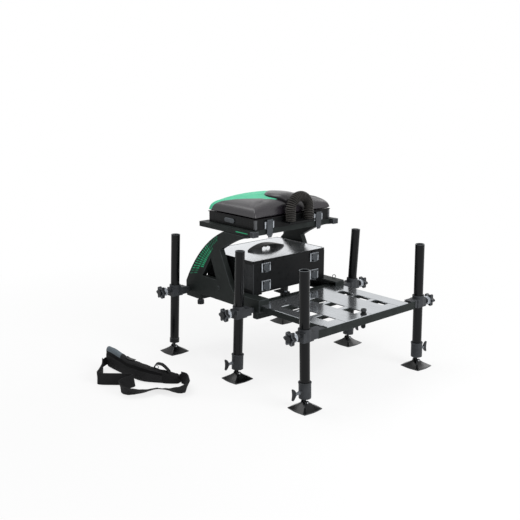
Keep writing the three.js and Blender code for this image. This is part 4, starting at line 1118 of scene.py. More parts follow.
@dataclass
class BaseFrame:
    """The fixed frame: side frames with the arms, cross members, seat frame and lock screw."""

    face_x: float = 232
    foot_y: float = -38
    base_z: float = 250
    arm_length: float = 456
    arm_height: float = 279.7
    bar_rows: int = 19
    bar_half: float = 2.3
    first_row: float = 0.1
    rows_reach: float = 0.78
    first_column: float = 0.12
    column_pitch: float = 0.27
    bar_length: float = 0.2
    screws: Path = ((203, 300), (60, 262))
    screw_head: Path = ((0, 0), (7, 0), (7, 1.6), (6, 2.6), (3.4, 2.6), (3.2, 0.8), (0, 0.8))
    outer_edge: Path = ((0.998, 0.143), (0.796, 0.754), (0.465, 1.0))
    inner_edge: Path = ((0.757, 0.286), (0.659, 0.607), (0.507, 0.84))

    def build(self) -> None:
        """Dresses the fixed frame."""
        for side in SIDES:
            SHOP.dress(f"{side}_side_frame", FRAME, FRAME_EDGE, 1.4, 2)
            self.bars(side)
            self.horn_line(side)
            self.screw_heads(side)
            self.end_caps(side)
        for node in ("base_front_cross", "base_rear_rail", "seat_frame"):
            SHOP.dress(node, FRAME, FRAME_EDGE, 1.0, 2)
        SHOP.dress("slide_lock_knob", KNOB, KNOB_EDGE, 1.2, 3)
        self.ring_hook()

    def curve(self, shares: Path, t: float) -> Vector:
        """A point in (y, z) of the curve that three shares of the arm steer."""
        a, b, c = (
            Vector((self.foot_y + u * self.arm_length, self.base_z + v * self.arm_height)) for u, v in shares
        )
        return a * (1 - t) ** 2 + b * 2 * t * (1 - t) + c * t ** 2

    def arm_point(self, share: float, across: float) -> Vector:
        """A point of the arm's face in (y, z) millimetres.

        Args:
            share: 0 at the arm's foot, 1 at its head.
            across: 0 on the outer edge, 1 on the inner edge.

        Returns:
            The point as a Vector of y and z, in millimetres.
        """
        return self.curve(self.outer_edge, share).lerp(self.curve(self.inner_edge, share), across)

    def bars(self, side: str) -> None:
        """The rows of short green bars across the arm's outer face.

        Args:
            side: The side, left or right.
        """
        hand = SIDES[side]
        bars = []
        for row in range(self.bar_rows):
            t = row / (self.bar_rows - 1)
            share = self.first_row + self.rows_reach * t
            for column in range(3):
                if column == 2 and not 0.15 < t < 0.8:
                    continue
                begin = self.first_column + self.column_pitch * column
                a = self.arm_point(share, begin)
                b = self.arm_point(share, begin + self.bar_length)
                along = (b - a).normalized()
                over = Vector((-along.y, along.x)) * self.bar_half
                corners = [a - over, b - over, b + over, a + over]
                outline = [at(hand * (self.face_x + 0.05), p.x, p.y) for p in corners]
                bar = BENCH.slab("bar", outline, Vector((hand * 0.0004, 0, 0)))
                # The bars at both ends of the rows take the dimmer green.
                bars.append(SHOP.paint(bar, GREEN if 0.08 < t < 0.72 else GREEN_DIM))
        whole = BENCH.join(f"{side}_arm_bars", bars)
        SHOP.fit(whole, "base", "frame")

    def horn_line(self, side: str) -> None:
        """The thin green line under the seat frame, near the horn's tip.

        Args:
            side: The side, left or right.
        """
        hand = SIDES[side]
        low = (hand * 226.8, 32, 539.4)
        high = (hand * 227.7, 100, 542.6)
        line = BENCH.block(f"{side}_horn_line", low, high)
        BENCH.bevel(line, 0.2, 1)
        SHOP.paint(line, GREEN)
        SHOP.fit(line, "base", "frame")

    def screw_heads(self, side: str) -> None:
        """The socket screws on the outer face of a side frame.

        Args:
            side: The side, left or right.
        """
        hand = SIDES[side]
        for k, (y, z) in enumerate(self.screws):
            base = at(hand * (self.face_x - 0.05), y, z)
            name = f"{side}_frame_screw_{k + 1}"
            head = BENCH.turned(name, self.screw_head, base, Vector((hand, 0, 0)), 24)
            SHOP.paint(head, LATCH)
            BENCH.smooth(head)
            SHOP.fit(head, "base", "steel")

    def end_caps(self, side: str) -> None:
        """The caps on the front ends of the seat frame and of the base member.

        Args:
            side: The side, left or right.
        """
        hand = SIDES[side]
        cap = BENCH.block(f"{side}_seat_frame_cap", (hand * 200.7, -1.4, 529.7), (hand * 228.2, 17, 550.8))
        notch = BENCH.block("notch", (hand * 190, 3, 546), (hand * 214, 30, 560))
        BENCH.cut(cap, notch)
        # The rounded edges take the lighter clamp grey: wear and painted highlight.
        SHOP.paint(cap, CASTING, CASTING_EDGE)
        BENCH.bevel(cap, 0.9, 2, 1)
        BENCH.smooth(cap)
        SHOP.fit(cap, "base", "frame")
        end = BENCH.block(f"{side}_base_member_cap", (hand * 183, -39.6, 252), (hand * 231, -37, 297.5))
        # The rounded edges take the lighter casting grey: wear and painted highlight.
        SHOP.paint(end, FRAME, CASTING)
        BENCH.bevel(end, 1.2, 2, 1)
        BENCH.smooth(end)
        SHOP.fit(end, "base", "frame")

    def ring_hook(self) -> None:
        """The small wire ring that stands on the right member."""
        ring = BENCH.ring("right_ring_hook", 6.6, 1.3, at(224, 10, 306.4), turn=-40, steps=(36, 12))
        SHOP.paint(ring, HANDLE)
        BENCH.smooth(ring)
        SHOP.fit(ring, "base", "steel")


class LatchKind(Enum):
    """The three sizes of draw latch."""

    SEAT = "seat"
    LID = "lid"
    BASE = "base"


@dataclass
class DrawLatch:
    """A draw latch: plate with raised sides and teeth painted brighter as highlights, a dark patch of painted
    shade in the hook recess, and its lever.
    """

    kind: LatchKind
    side: str
    face_y: float
    bottom_z: float
    top_z: float
    pivot_z: float
    body: str
    spacing: float = 131
    width: float = 46
    lever_width: float = 28
    stand: float = 2.2
    plate_thick: float = 0.9
    rail_gap: float = 4
    rail_height: float = 2.6
    tooth_height: float = 2.2
    tooth_pitch: float = 1.45
    tooth_room: float = 4

    def build(self) -> None:
        """Makes the plate and dresses the lever."""
        x = SIDES[self.side] * self.spacing
        half = self.width / 2
        name = f"{self.side}_{self.kind.value}_latch_plate"
        front = self.face_y - self.stand
        low = (x - half, front, self.bottom_z)
        plate = BENCH.block(name, low, (x + half, front - self.plate_thick, self.top_z))
        # The plate's rounded edges take the bright finish as painted highlight.
        SHOP.paint(plate, LATCH, LATCH_EDGE)
        parts = [BENCH.bevel(plate, 0.4, 1, 1)]
        inner = self.lever_width / 2 + self.rail_gap
        for hand in (-1, 1):
            low = (x + hand * inner, front - 0.5, self.bottom_z + 2)
            high = (x + hand * (half - 0.4), front - self.rail_height, self.top_z - 1)
            parts.append(self.raised(low, high))
        tooth = self.width / 7
        for k in (-1, 0, 1):
            centre = x + k * tooth * self.tooth_pitch
            low = (centre - tooth / 2, front - 0.5, self.pivot_z + 1)
            high = (centre + tooth / 2, front - self.tooth_height, self.top_z - 1)
            if self.top_z - self.pivot_z > self.tooth_room:
                parts.append(self.raised(low, high))
        # A near-black patch on the plate is painted shade for the hook recess.
        low = (x - inner + 1, front - 0.6, self.bottom_z + 1.5)
        high = (x + inner - 1, front - 1.2, self.pivot_z - 4)
        recess = BENCH.block("recess", low, high)
        parts.append(SHOP.paint(recess, RECESS_SHADE))
        whole = BENCH.join(name, parts)
        BENCH.smooth(whole)
        SHOP.fit(whole, self.body, "latch")
        # The lever's rounded edges take the bright finish as painted highlight.
        SHOP.dress(f"{self.side}_{self.kind.value}_latch", LEVER, LATCH_EDGE, 0.7)

    def raised(self, low: Sequence[Number], high: Sequence[Number]) -> Piece:
        """A small rib or tooth of the plate, painted brighter as a highlight.

        Args:
            low: One corner, in millimetres.
            high: The opposite corner, in millimetres.

        Returns:
            The rib or tooth.
        """
        piece = BENCH.block("raised", low, high)
        BENCH.bevel(piece, 0.5, 2)
        return SHOP.paint(piece, LATCH_EDGE)


@dataclass
class SeatUnit:
    """The hinged seat: shell, drawer, cushion, pommel, ribbed hoop and latches."""

    half_width: float = 200
    front_y: float = 20
    rear_y: float = 300
    bottom_z: float = 550.3
    top_z: float = 592.5
    band: float = 6
    side_round: float = 32
    front_round: float = 50
    rear_round: float = 34
    crown: float = 54
    fall: float = 14
    crown_reach: float = 165
    pull_y: float = 168
    pull_z: float = 571.5
    pull_half: float = 20
    pull_round: float = 9.2
    post_inside: float = 188
    flute_first: float = 4.4
    flute_pitch: float = 3.4
    cushion_gap: float = 0.3
    swell: float = 1
    waist: float = 2.5
    rise_steps: int = 13
    top_steps: int = 9
    blow_cap: float = 3
    panel_corner: tuple[float, float] = (-60, 64)
    panel_rear: tuple[float, float] = (-200, 285)
    pommel: Path = (
        (0, 21), (17, 22), (29, 31), (43, 50), (53, 74), (54, 103), (47, 134), (31, 161), (12, 175),
    )
    pommel_rise: float = 20
    pommel_middle: float = 96
    hoop_x: float = 7
    hoop_y: float = -5
    hoop_radius: float = 20
    hoop_bend: float = 48
    hoop_foot: float = 572
    hoop_arch: float = 616
    hoop_bore: float = 11
    hoop_sides: int = 36
    ribs: int = 36
    rib_shape: Path = (
        (0.0, 3.2), (0.16, 3.0), (0.27, 0.9), (0.42, 0.0), (0.62, 0.0), (0.77, 0.9), (0.88, 3.0),
    )
    valley_rows: tuple[int, ...] = (0, 1, 6)

    def build(self) -> None:
        """Makes the seat."""
        SHOP.dress("seat_shell", SHELL, SHELL_EDGE, 0.9, 2)
        SHOP.dress("seat_drawer", SHELL, SHELL_EDGE, 0.9, 2)
        self.pull()
        self.posts()
        self.cushion()
        self.raised_pommel()
        self.hoop()
        self.piping()
        self.seals()
        for side in SIDES:
            DrawLatch(LatchKind.SEAT, side, self.front_y, 552, 580, 572, "seat_unit").build()

    def pull(self) -> None:
        """The grey oval pull on the drawer's face."""
        low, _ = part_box("seat_drawer")
        points = []
        for k in range(40):
            angle = 2 * math.pi * k / 40
            end = 1 if math.cos(angle) > 0 else -1
            y = self.pull_y + self.pull_half * end + self.pull_round * math.cos(angle)
            z = self.pull_z + self.pull_round * math.sin(angle)
            points.append(Vector((low.x - 0.0006, at(0, y, 0).y, z * MM)))
        pull = BENCH.slab("drawer_pull", points, Vector((0.004, 0, 0)))
        BENCH.bevel(pull, 1.6, 3)
        SHOP.paint(pull, PULL)
        BENCH.smooth(pull, 50)
        SHOP.fit(pull, "drawer", "shell")

    def posts(self) -> None:
        """The light corner posts at the front of the shell."""
        for side, hand in SIDES.items():
            low = (hand * self.post_inside, self.front_y - 0.7, self.bottom_z + 1.5)
            high = (hand * (self.half_width + 0.7), self.front_y + 10, self.top_z - 1.5)
            post = BENCH.block(f"{side}_seat_post", low, high)
            BENCH.bevel(post, 4.2, 4)
            for k in range(2):
                y = self.front_y + self.flute_first + self.flute_pitch * k
                low = (hand * (self.half_width + 0.2), y, self.bottom_z)
                high = (hand * (self.half_width + 3), y + 1.2, self.top_z)
                BENCH.cut(post, BENCH.block("flute", low, high))
            SHOP.paint(post, POST)
            BENCH.smooth(post, 50)
            SHOP.fit(post, "seat_unit", "shell")

    def seals(self) -> None:
        """Near-black strips under the shell's long edges, which fill the slit above the seat frame with painted
        shade.
        """
        for side, hand in SIDES.items():
            low = (hand * (self.half_width - 3.5), self.front_y + 7.5, self.bottom_z - 4)
            high = (hand * (self.half_width - 0.5), self.rear_y - 2, self.bottom_z + 0.6)
            seal = BENCH.block(f"{side}_seat_seal", low, high)
            # The strips take the near-black finish: painted shade in the slit.
            SHOP.paint(seal, RUBBER_SHADE)
            BENCH.bevel(seal, 0.3, 1)
            SHOP.fit(seal, "seat_unit", "rubber")

    def edge(self, distance: float, width: float) -> float:
        """How far the cushion has risen at a distance from its edge, from 0 to 1."""
        t = min(1.0, max(0.0, distance / width))
        return (1 - (1 - t) ** 2.5) ** 0.48

    def crown_at(self, x: float) -> float:
        """The cushion's full rise over its band at a distance from the middle, in millimetres."""
        return self.crown - self.fall * (x / self.crown_reach) ** 2

    def surface(self, x: float, y: float) -> float:
        """The cushion's height at a place, in millimetres."""
        share = min(
            self.edge(self.half_width - abs(x), self.side_round),
            self.edge(y - self.front_y, self.front_round),
            self.edge(self.rear_y - y, self.rear_round),
        )
        return self.top_z + self.band + self.crown_at(x) * share

    def rectangle(self, half_x: float, low_y: float, high_y: float, waist: float) -> list[Pair]:
        """Points round a rectangle, with its corners and with sides drawn in by a waist.

        Args:
            half_x: Half its width.
            low_y: Its front edge.
            high_y: Its rear edge.
            waist: How far the middle of each side is drawn in.

        Returns:
            The points from the front left corner round, in millimetres.
        """
        corners = [(-half_x, low_y), (half_x, low_y), (half_x, high_y), (-half_x, high_y)]
        inward = [(0, 1), (-1, 0), (0, -1), (1, 0)]
        points = []
        for k, (count, way) in enumerate(zip((44, 32, 44, 32), inward)):
            (x0, y0), (x1, y1) = corners[k], corners[(k + 1) % 4]
            for step in range(count):
                t = step / count
                pull = waist * 4 * t * (1 - t)
                points.append((x0 + (x1 - x0) * t + way[0] * pull, y0 + (y1 - y0) * t + way[1] * pull))
        return points

    def cushion(self) -> None:
        """The leather cushion: mitred corners, blown up by cloth pressure, with its pale panel."""
        base = self.top_z + self.cushion_gap
        foot = self.rectangle(self.half_width, self.front_y, self.rear_y, self.waist)
        half_x = self.half_width + self.swell
        low_y, high_y = self.front_y - self.swell, self.rear_y + self.swell
        edge = self.rectangle(half_x, low_y, high_y, self.waist)
        base_top = base + self.band
        rings = [[at(x, y, base) for x, y in foot], [at(x, y, base_top) for x, y in edge]]
        for k in range(1, self.rise_steps + 1):
            angle = math.pi / 2 * k / self.rise_steps
            away = 1 - math.cos(angle)
            rise = math.sin(angle) ** 0.8
            outline = self.rectangle(
                half_x - away * self.side_round, low_y + away * self.front_round,
                high_y - away * self.rear_round, self.waist * (1 - k / self.rise_steps),
            )
            rings.append([at(x, y, base_top + self.crown_at(x) * rise) for x, y in outline])
        half_x, low_y, high_y = half_x - self.side_round, low_y + self.front_round, high_y - self.rear_round
        middle = (low_y + high_y) / 2
        for k in range(1, self.top_steps):
            f = 1 - k / self.top_steps
            near, far = middle + (low_y - middle) * f, middle + (high_y - middle) * f
            outline = self.rectangle(half_x * (0.2 + 0.8 * f), near, far, 0)
            rings.append([at(x, y, base_top + self.crown_at(x)) for x, y in outline])
        piece = BENCH.loft("cushion", rings)
        BENCH.blow(piece, range(len(foot) + len(edge)), self.blow_cap)
        BENCH.apply(piece, "SUBSURF", levels=1, render_levels=1)
        self.mark_panel(piece)
        BENCH.smooth(piece, 60)
        SHOP.fit(piece, "seat_unit", "leather", "seat_cushion")

    def mark_panel(self, piece: Piece) -> None:
        """Cuts the sewn lines into the mesh and gives the pale panel its own leather.

        Args:
            piece: The cushion.
        """
        (x0, y0), (x1, y1) = self.panel_corner, self.panel_rear
        for hand in (1, -1):
            along = Vector((hand * (x1 - x0), y1 - y0, 0)).normalized()
            with BENCH.editing(piece):
                bpy.ops.mesh.bisect(plane_co=at(hand * x0, y0, 0), plane_no=(along.y, -along.x, 0))
        with BENCH.editing(piece):
            bpy.ops.mesh.bisect(plane_co=at(0, y0, 0), plane_no=(0, 1, 0))
        SHOP.paint(piece, LEATHER, MINT)
        slope = (y1 - y0) / (x1 - x0)
        for face in piece.data.polygons:
            place = (face.center - at(0, 0, 0)) / MM
            line = y0 + (-abs(place.x) - x0) * slope
            face.material_index = 1 if place.y > max(line, y0) and face.normal.z > 0.02 else 0

    def raised_pommel(self) -> None:
        """The raised leather pad at the front of the cushion, sewn down round its edge."""
        outline = list(self.pommel) + [(0, 178)] + [(-x, y) for x, y in reversed(self.pommel[1:])]
        middle_y = self.pommel_middle
        rings = []
        for k in range(11):
            angle = math.pi / 2 * k / 10
            f = 1 - 0.3 * (1 - math.cos(angle))
            lift = -3 + (self.pommel_rise + 3) * 0.86 * math.sin(angle) ** 0.8
            rings.append([self.pommel_point(x * f, middle_y + (y - middle_y) * f, lift) for x, y in outline])
        for k in range(1, 7):
            f = 0.7 * (1 - k / 7)
            lift = self.pommel_rise * (0.86 + 0.14 * (1 - (f / 0.7) ** 2)) - 0.4
            rings.append([self.pommel_point(x * f, middle_y + (y - middle_y) * f, lift) for x, y in outline])
        piece = BENCH.loft("seat_pommel", rings)
        SHOP.paint(piece, LEATHER, LEATHER_DARK)
        for face in list(piece.data.polygons)[: len(outline) * 3]:
            face.material_index = 1
        BENCH.apply(piece, "SUBSURF", levels=2, render_levels=2)
        BENCH.smooth(piece, 60)
        SHOP.fit(piece, "seat_unit", "leather")

    def pommel_point(self, x: float, y: float, lift: float) -> Vector:
        """A point at a height over the cushion."""
        return at(x, max(y, self.front_y + 1.5), self.surface(x, y) + lift)

    def hoop_line(self, distance: float) -> tuple[float, float, float, float]:
        """The hoop's middle line.

        Args:
            distance: Along the line from its left foot, in millimetres.

        Returns:
            The point's x and z, and the unit vector away from the bend's middle.
        """
        leg = self.hoop_arch - self.hoop_foot
        arc = math.pi * self.hoop_bend
        if distance <= leg:
            return self.hoop_x - self.hoop_bend, self.hoop_foot + distance, -1, 0
        if distance >= leg + arc:
            return self.hoop_x + self.hoop_bend, self.hoop_arch - (distance - leg - arc), 1, 0
        angle = math.pi - (distance - leg) / self.hoop_bend
        c, s = math.cos(angle), math.sin(angle)
        return self.hoop_x + self.hoop_bend * c, self.hoop_arch + self.hoop_bend * s, c, s

    def hoop_ring(self, distance: float, radius: float) -> list[Vector]:
        """A ring of points round the hoop's middle line.

        Args:
            distance: Along the middle line from its left foot, in millimetres.
            radius: In millimetres.

        Returns:
            The ring's points.
        """
        x, z, out_x, out_z = self.hoop_line(distance)
        made = []
        for i in range(self.hoop_sides):
            angle = 2 * math.pi * i / self.hoop_sides
            out = radius * math.cos(angle)
            made.append(at(x + out * out_x, self.hoop_y + radius * math.sin(angle), z + out * out_z))
        return made

    def hoop(self) -> None:
        """The ribbed rubber hoop, with painted shade in the valleys between its rounded ribs and in its bore."""
        length = 2 * (self.hoop_arch - self.hoop_foot) + math.pi * self.hoop_bend
        pitch = length / self.ribs
        rings = []
        for i in range(self.ribs):
            for share, drop in self.rib_shape:
                rings.append(self.hoop_ring((i + share) * pitch, self.hoop_radius - drop))
        rings.append(self.hoop_ring(length, self.hoop_radius - self.rib_shape[0][1]))
        outside = len(rings)
        for i in range(self.ribs, -1, -2):
            rings.append(self.hoop_ring(i * pitch, self.hoop_bore))
        piece = BENCH.loft("hoop", rings, closed=True)
        SHOP.paint(piece, RUBBER, RUBBER_SHADE)
        # The valley rows and the bore take the near-black finish: painted shade.
        for index, face in enumerate(piece.data.polygons):
            row = index // self.hoop_sides
            dark = row >= outside or row % len(self.rib_shape) in self.valley_rows
            face.material_index = 1 if dark else 0
        BENCH.smooth(piece, 50)
        SHOP.fit(piece, "seat_unit", "rubber", "pole_hoop")

    def piping(self) -> None:
        """The dark lip between the cushion and the shell."""
        outer = 1.6
        low = (-self.half_width - outer, self.front_y - outer, self.top_z - 2.6)
        high = (self.half_width + outer, self.rear_y + outer, self.top_z + 0.25)
        lip = BENCH.block("cushion_lip", low, high)
        low = (5 - self.half_width, self.front_y + 5, self.top_z - 10)
        high = (self.half_width - 5, self.rear_y - 5, self.top_z + 10)
        hole = BENCH.block("hole", low, high)
        BENCH.cut(lip, hole)
        BENCH.bevel(lip, 0.9, 2)
        SHOP.paint(lip, LEATHER_DARK)
        BENCH.smooth(lip)
        SHOP.fit(lip, "seat_unit", "leather")


@dataclass
class TackleCase:
    """The sliding case: body, lid with its panel, carry handle and draw latches."""

    half_width: float = 194
    front_y: float = 38
    rear_y: float = 324
    top_z: float = 429
    rim: float = 5
    recess: float = 2
    panel_round: float = 14
    panel_gap: float = 1.3
    grip_z: float = 441.3
    scallops: int = 4
    scallop_pitch: float = 19
    scallop_radius: float = 9
    post_ribs: int = 12
    rib_pitch: float = 4.7

    def build(self) -> None:
        """Makes the case."""
        self.body()
        self.lid()
        self.panel()
        self.handle()
        self.corner_posts()
        for side in SIDES:
            DrawLatch(LatchKind.LID, side, self.front_y, 381, 416, 410, "case").build()
            DrawLatch(LatchKind.BASE, side, self.front_y, 307, 347, 341, "case").build()

    def body(self) -> None:
        """The case body, its chamfered front corners in the posts' finish."""
        piece = BENCH.copy("case_body", "case_body_dressed")
        # The rounded edges take the lighter shell grey: wear and painted highlight.
        SHOP.paint(piece, SHELL, SHELL_EDGE, CASE_POST)
        BENCH.bevel(piece, 0.9, 2, 1)
        for face in piece.data.polygons:
            if abs(face.normal.x) > 0.4 and face.normal.y < -0.4 and face.area > 0.0004:
                face.material_index = 2
        BENCH.smooth(piece)
        SHOP.fit(piece, "case", SLOT_OF["case_body"], "case_body")

    def lid(self) -> None:
        """The lid, its upper rim as bright as the panel inside it."""
        piece = BENCH.copy("case_lid", "case_lid_dressed")
        SHOP.paint(piece, SHELL, LID_EDGE, PANEL)
        BENCH.bevel(piece, 0.9, 2, -1)
        for face in piece.data.polygons:
            if face.center.z > (self.top_z - 1) * MM and face.normal.z > 0.3:
                face.material_index = 2 if face.normal.z > 0.95 else 1
        BENCH.smooth(piece)
        SHOP.fit(piece, "lid", SLOT_OF["case_lid"], "case_lid")

    def panel(self) -> None:
        """The brushed panel inside the lid's rim, with a fine dark gap round it."""
        radius, inset = self.panel_round, self.panel_gap
        x = self.half_width - self.rim - inset
        y0, y1 = self.front_y + self.rim + inset, self.rear_y - self.rim - inset
        turns = (
            (x - radius, y0 + radius, -90), (x - radius, y1 - radius, 0),
            (radius - x, y1 - radius, 90), (radius - x, y0 + radius, 180),
        )
        points = []
        for cx, cy, start in turns:
            for k in range(9):
                angle = math.radians(start + 90 * k / 8)
                z = self.top_z - self.recess + 0.05
                points.append(at(cx + radius * math.cos(angle), cy + radius * math.sin(angle), z))
        panel = BENCH.slab("case_lid_panel", points, Vector((0, 0, 0.0012)))
        BENCH.bevel(panel, 0.5, 2)
        SHOP.paint(panel, PANEL)
        BENCH.smooth(panel)
        SHOP.fit(panel, "lid", "lid")

    def handle(self) -> None:
        """The carry handle, with finger scallops under its bridge."""
        piece = BENCH.copy("case_handle", "case_handle_dressed")
        middle_y = (self.front_y + self.rear_y) / 2
        for k in range(self.scallops):
            x = (k - (self.scallops - 1) / 2) * self.scallop_pitch
            start = at(x, middle_y - 40, self.grip_z - 5.4)
            BENCH.cut(piece, BENCH.rod("scallop", Axis.Y, self.scallop_radius, start, 80, 32))
        # The rounded edges take the lighter handle grey: wear and painted highlight.
        SHOP.paint(piece, HANDLE, HANDLE_EDGE)
        BENCH.bevel(piece, 1.2, 3, 1)
        BENCH.smooth(piece)
        SHOP.fit(piece, BODY_OF["case_handle"], SLOT_OF["case_handle"], "case_handle")

    def corner_posts(self) -> None:
        """The finely ribbed posts on the sides, at the front corners, each with a thin dark sheet at its foot as
        painted shade of a slot.
        """
        for side, hand in SIDES.items():
            ribs = []
            for k in range(self.post_ribs):
                y = self.front_y + 6 + k * self.rib_pitch
                low = (hand * (self.half_width + 1.4), y, 316)
                high = (hand * (self.half_width + 2.3), y + 2.5, 415)
                ribs.append(BENCH.block("rib", low, high))
            whole = BENCH.join(f"{side}_case_post_ribs", ribs)
            BENCH.bevel(whole, 0.25, 1)
            SHOP.paint(whole, CASE_POST)
            SHOP.fit(whole, "case", "shell")
            # A thin near-black sheet is painted shade for a slot at the post's foot.
            slot = BENCH.block(f"{side}_case_post_slot", (hand * 195, 46, 305), (hand * 195.9, 92, 311))
            BENCH.bevel(slot, 0.3, 1)
            SHOP.paint(slot, RECESS_SHADE)
            SHOP.fit(slot, "case", "shell")


@dataclass
class Footplate:
    """The sliding footplate: rails, deck, case stop and spigot."""

    seams: tuple[float, ...] = (-130.7, 7.9, 159.3)
    front_y: float = -377
    rear_y: float = -17
    top_z: float = 279
    stop_x: float = -58.5
    spigot: tuple[float, float] = (-16, -362)
    spigot_top: float = 299
    spigot_rim: Path = ((8.4, -8), (10.2, -7.4), (10.4, -6.6), (10.4, -1.2), (9.8, 0.4), (8.4, 0.4))
    button: Path = (
        (0, 0), (3, 0), (3, 1.4), (6, 1.9), (6.4, 2.7), (6, 4), (4.6, 4.8), (0, 5),
    )

    def build(self) -> None:
        """Makes the footplate."""
        for node in ("footplate_front_rail", "footplate_rear_frame"):
            SHOP.dress(node, FRAME, FRAME_EDGE, 1.0, 2)
        SHOP.dress("footplate_case_stop", SHELL, SHELL_EDGE, 0.8, 2)
        SHOP.dress("footplate_spigot", SHELL, SHELL_EDGE, 0.8, 2)
        self.deck()
        self.spigot_ring()
        self.stop_button()

    def deck(self) -> None:
        """The brushed deck with its openings and the seams between its planks."""
        piece = BENCH.copy("footplate_deck", "footplate_deck_dressed")
        for x in self.seams:
            low = (x, self.front_y - 5, self.top_z - 1.2)
            BENCH.cut(piece, BENCH.block("groove", low, (x + 1.6, self.rear_y + 5, self.top_z + 5)))
        SHOP.paint(piece, DECK, SEAM)
        BENCH.bevel(piece, 0.5, 2)
        for face in piece.data.polygons:
            if face.normal.z > 0.5 and face.center.z < (self.top_z - 0.8) * MM:
                face.material_index = 1
        BENCH.smooth(piece)
        SHOP.fit(piece, "footplate", "plate", "footplate_deck")

    def spigot_ring(self) -> None:
        """The wider ring round the spigot's mouth."""
        x, y = self.spigot
        base = at(x, y, self.spigot_top - 0.3)
        ring = BENCH.turned("spigot_ring", self.spigot_rim, base, Axis.Z.value, 40)
        SHOP.paint(ring, SHELL_EDGE)
        BENCH.smooth(ring, 40)
        SHOP.fit(ring, "footplate", "steel")

    def stop_button(self) -> None:
        """The small round knob on the case stop."""
        low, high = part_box("footplate_case_stop")
        base = Vector((at(self.stop_x, 0, 0).x, low.y + 0.012, high.z - 0.0001))
        button = BENCH.turned("case_stop_button", self.button, base, Axis.Z.value, 32)
        SHOP.paint(button, KNOB_EDGE)
        BENCH.smooth(button, 40)
        SHOP.fit(button, BODY_OF["footplate_case_stop"], "steel")


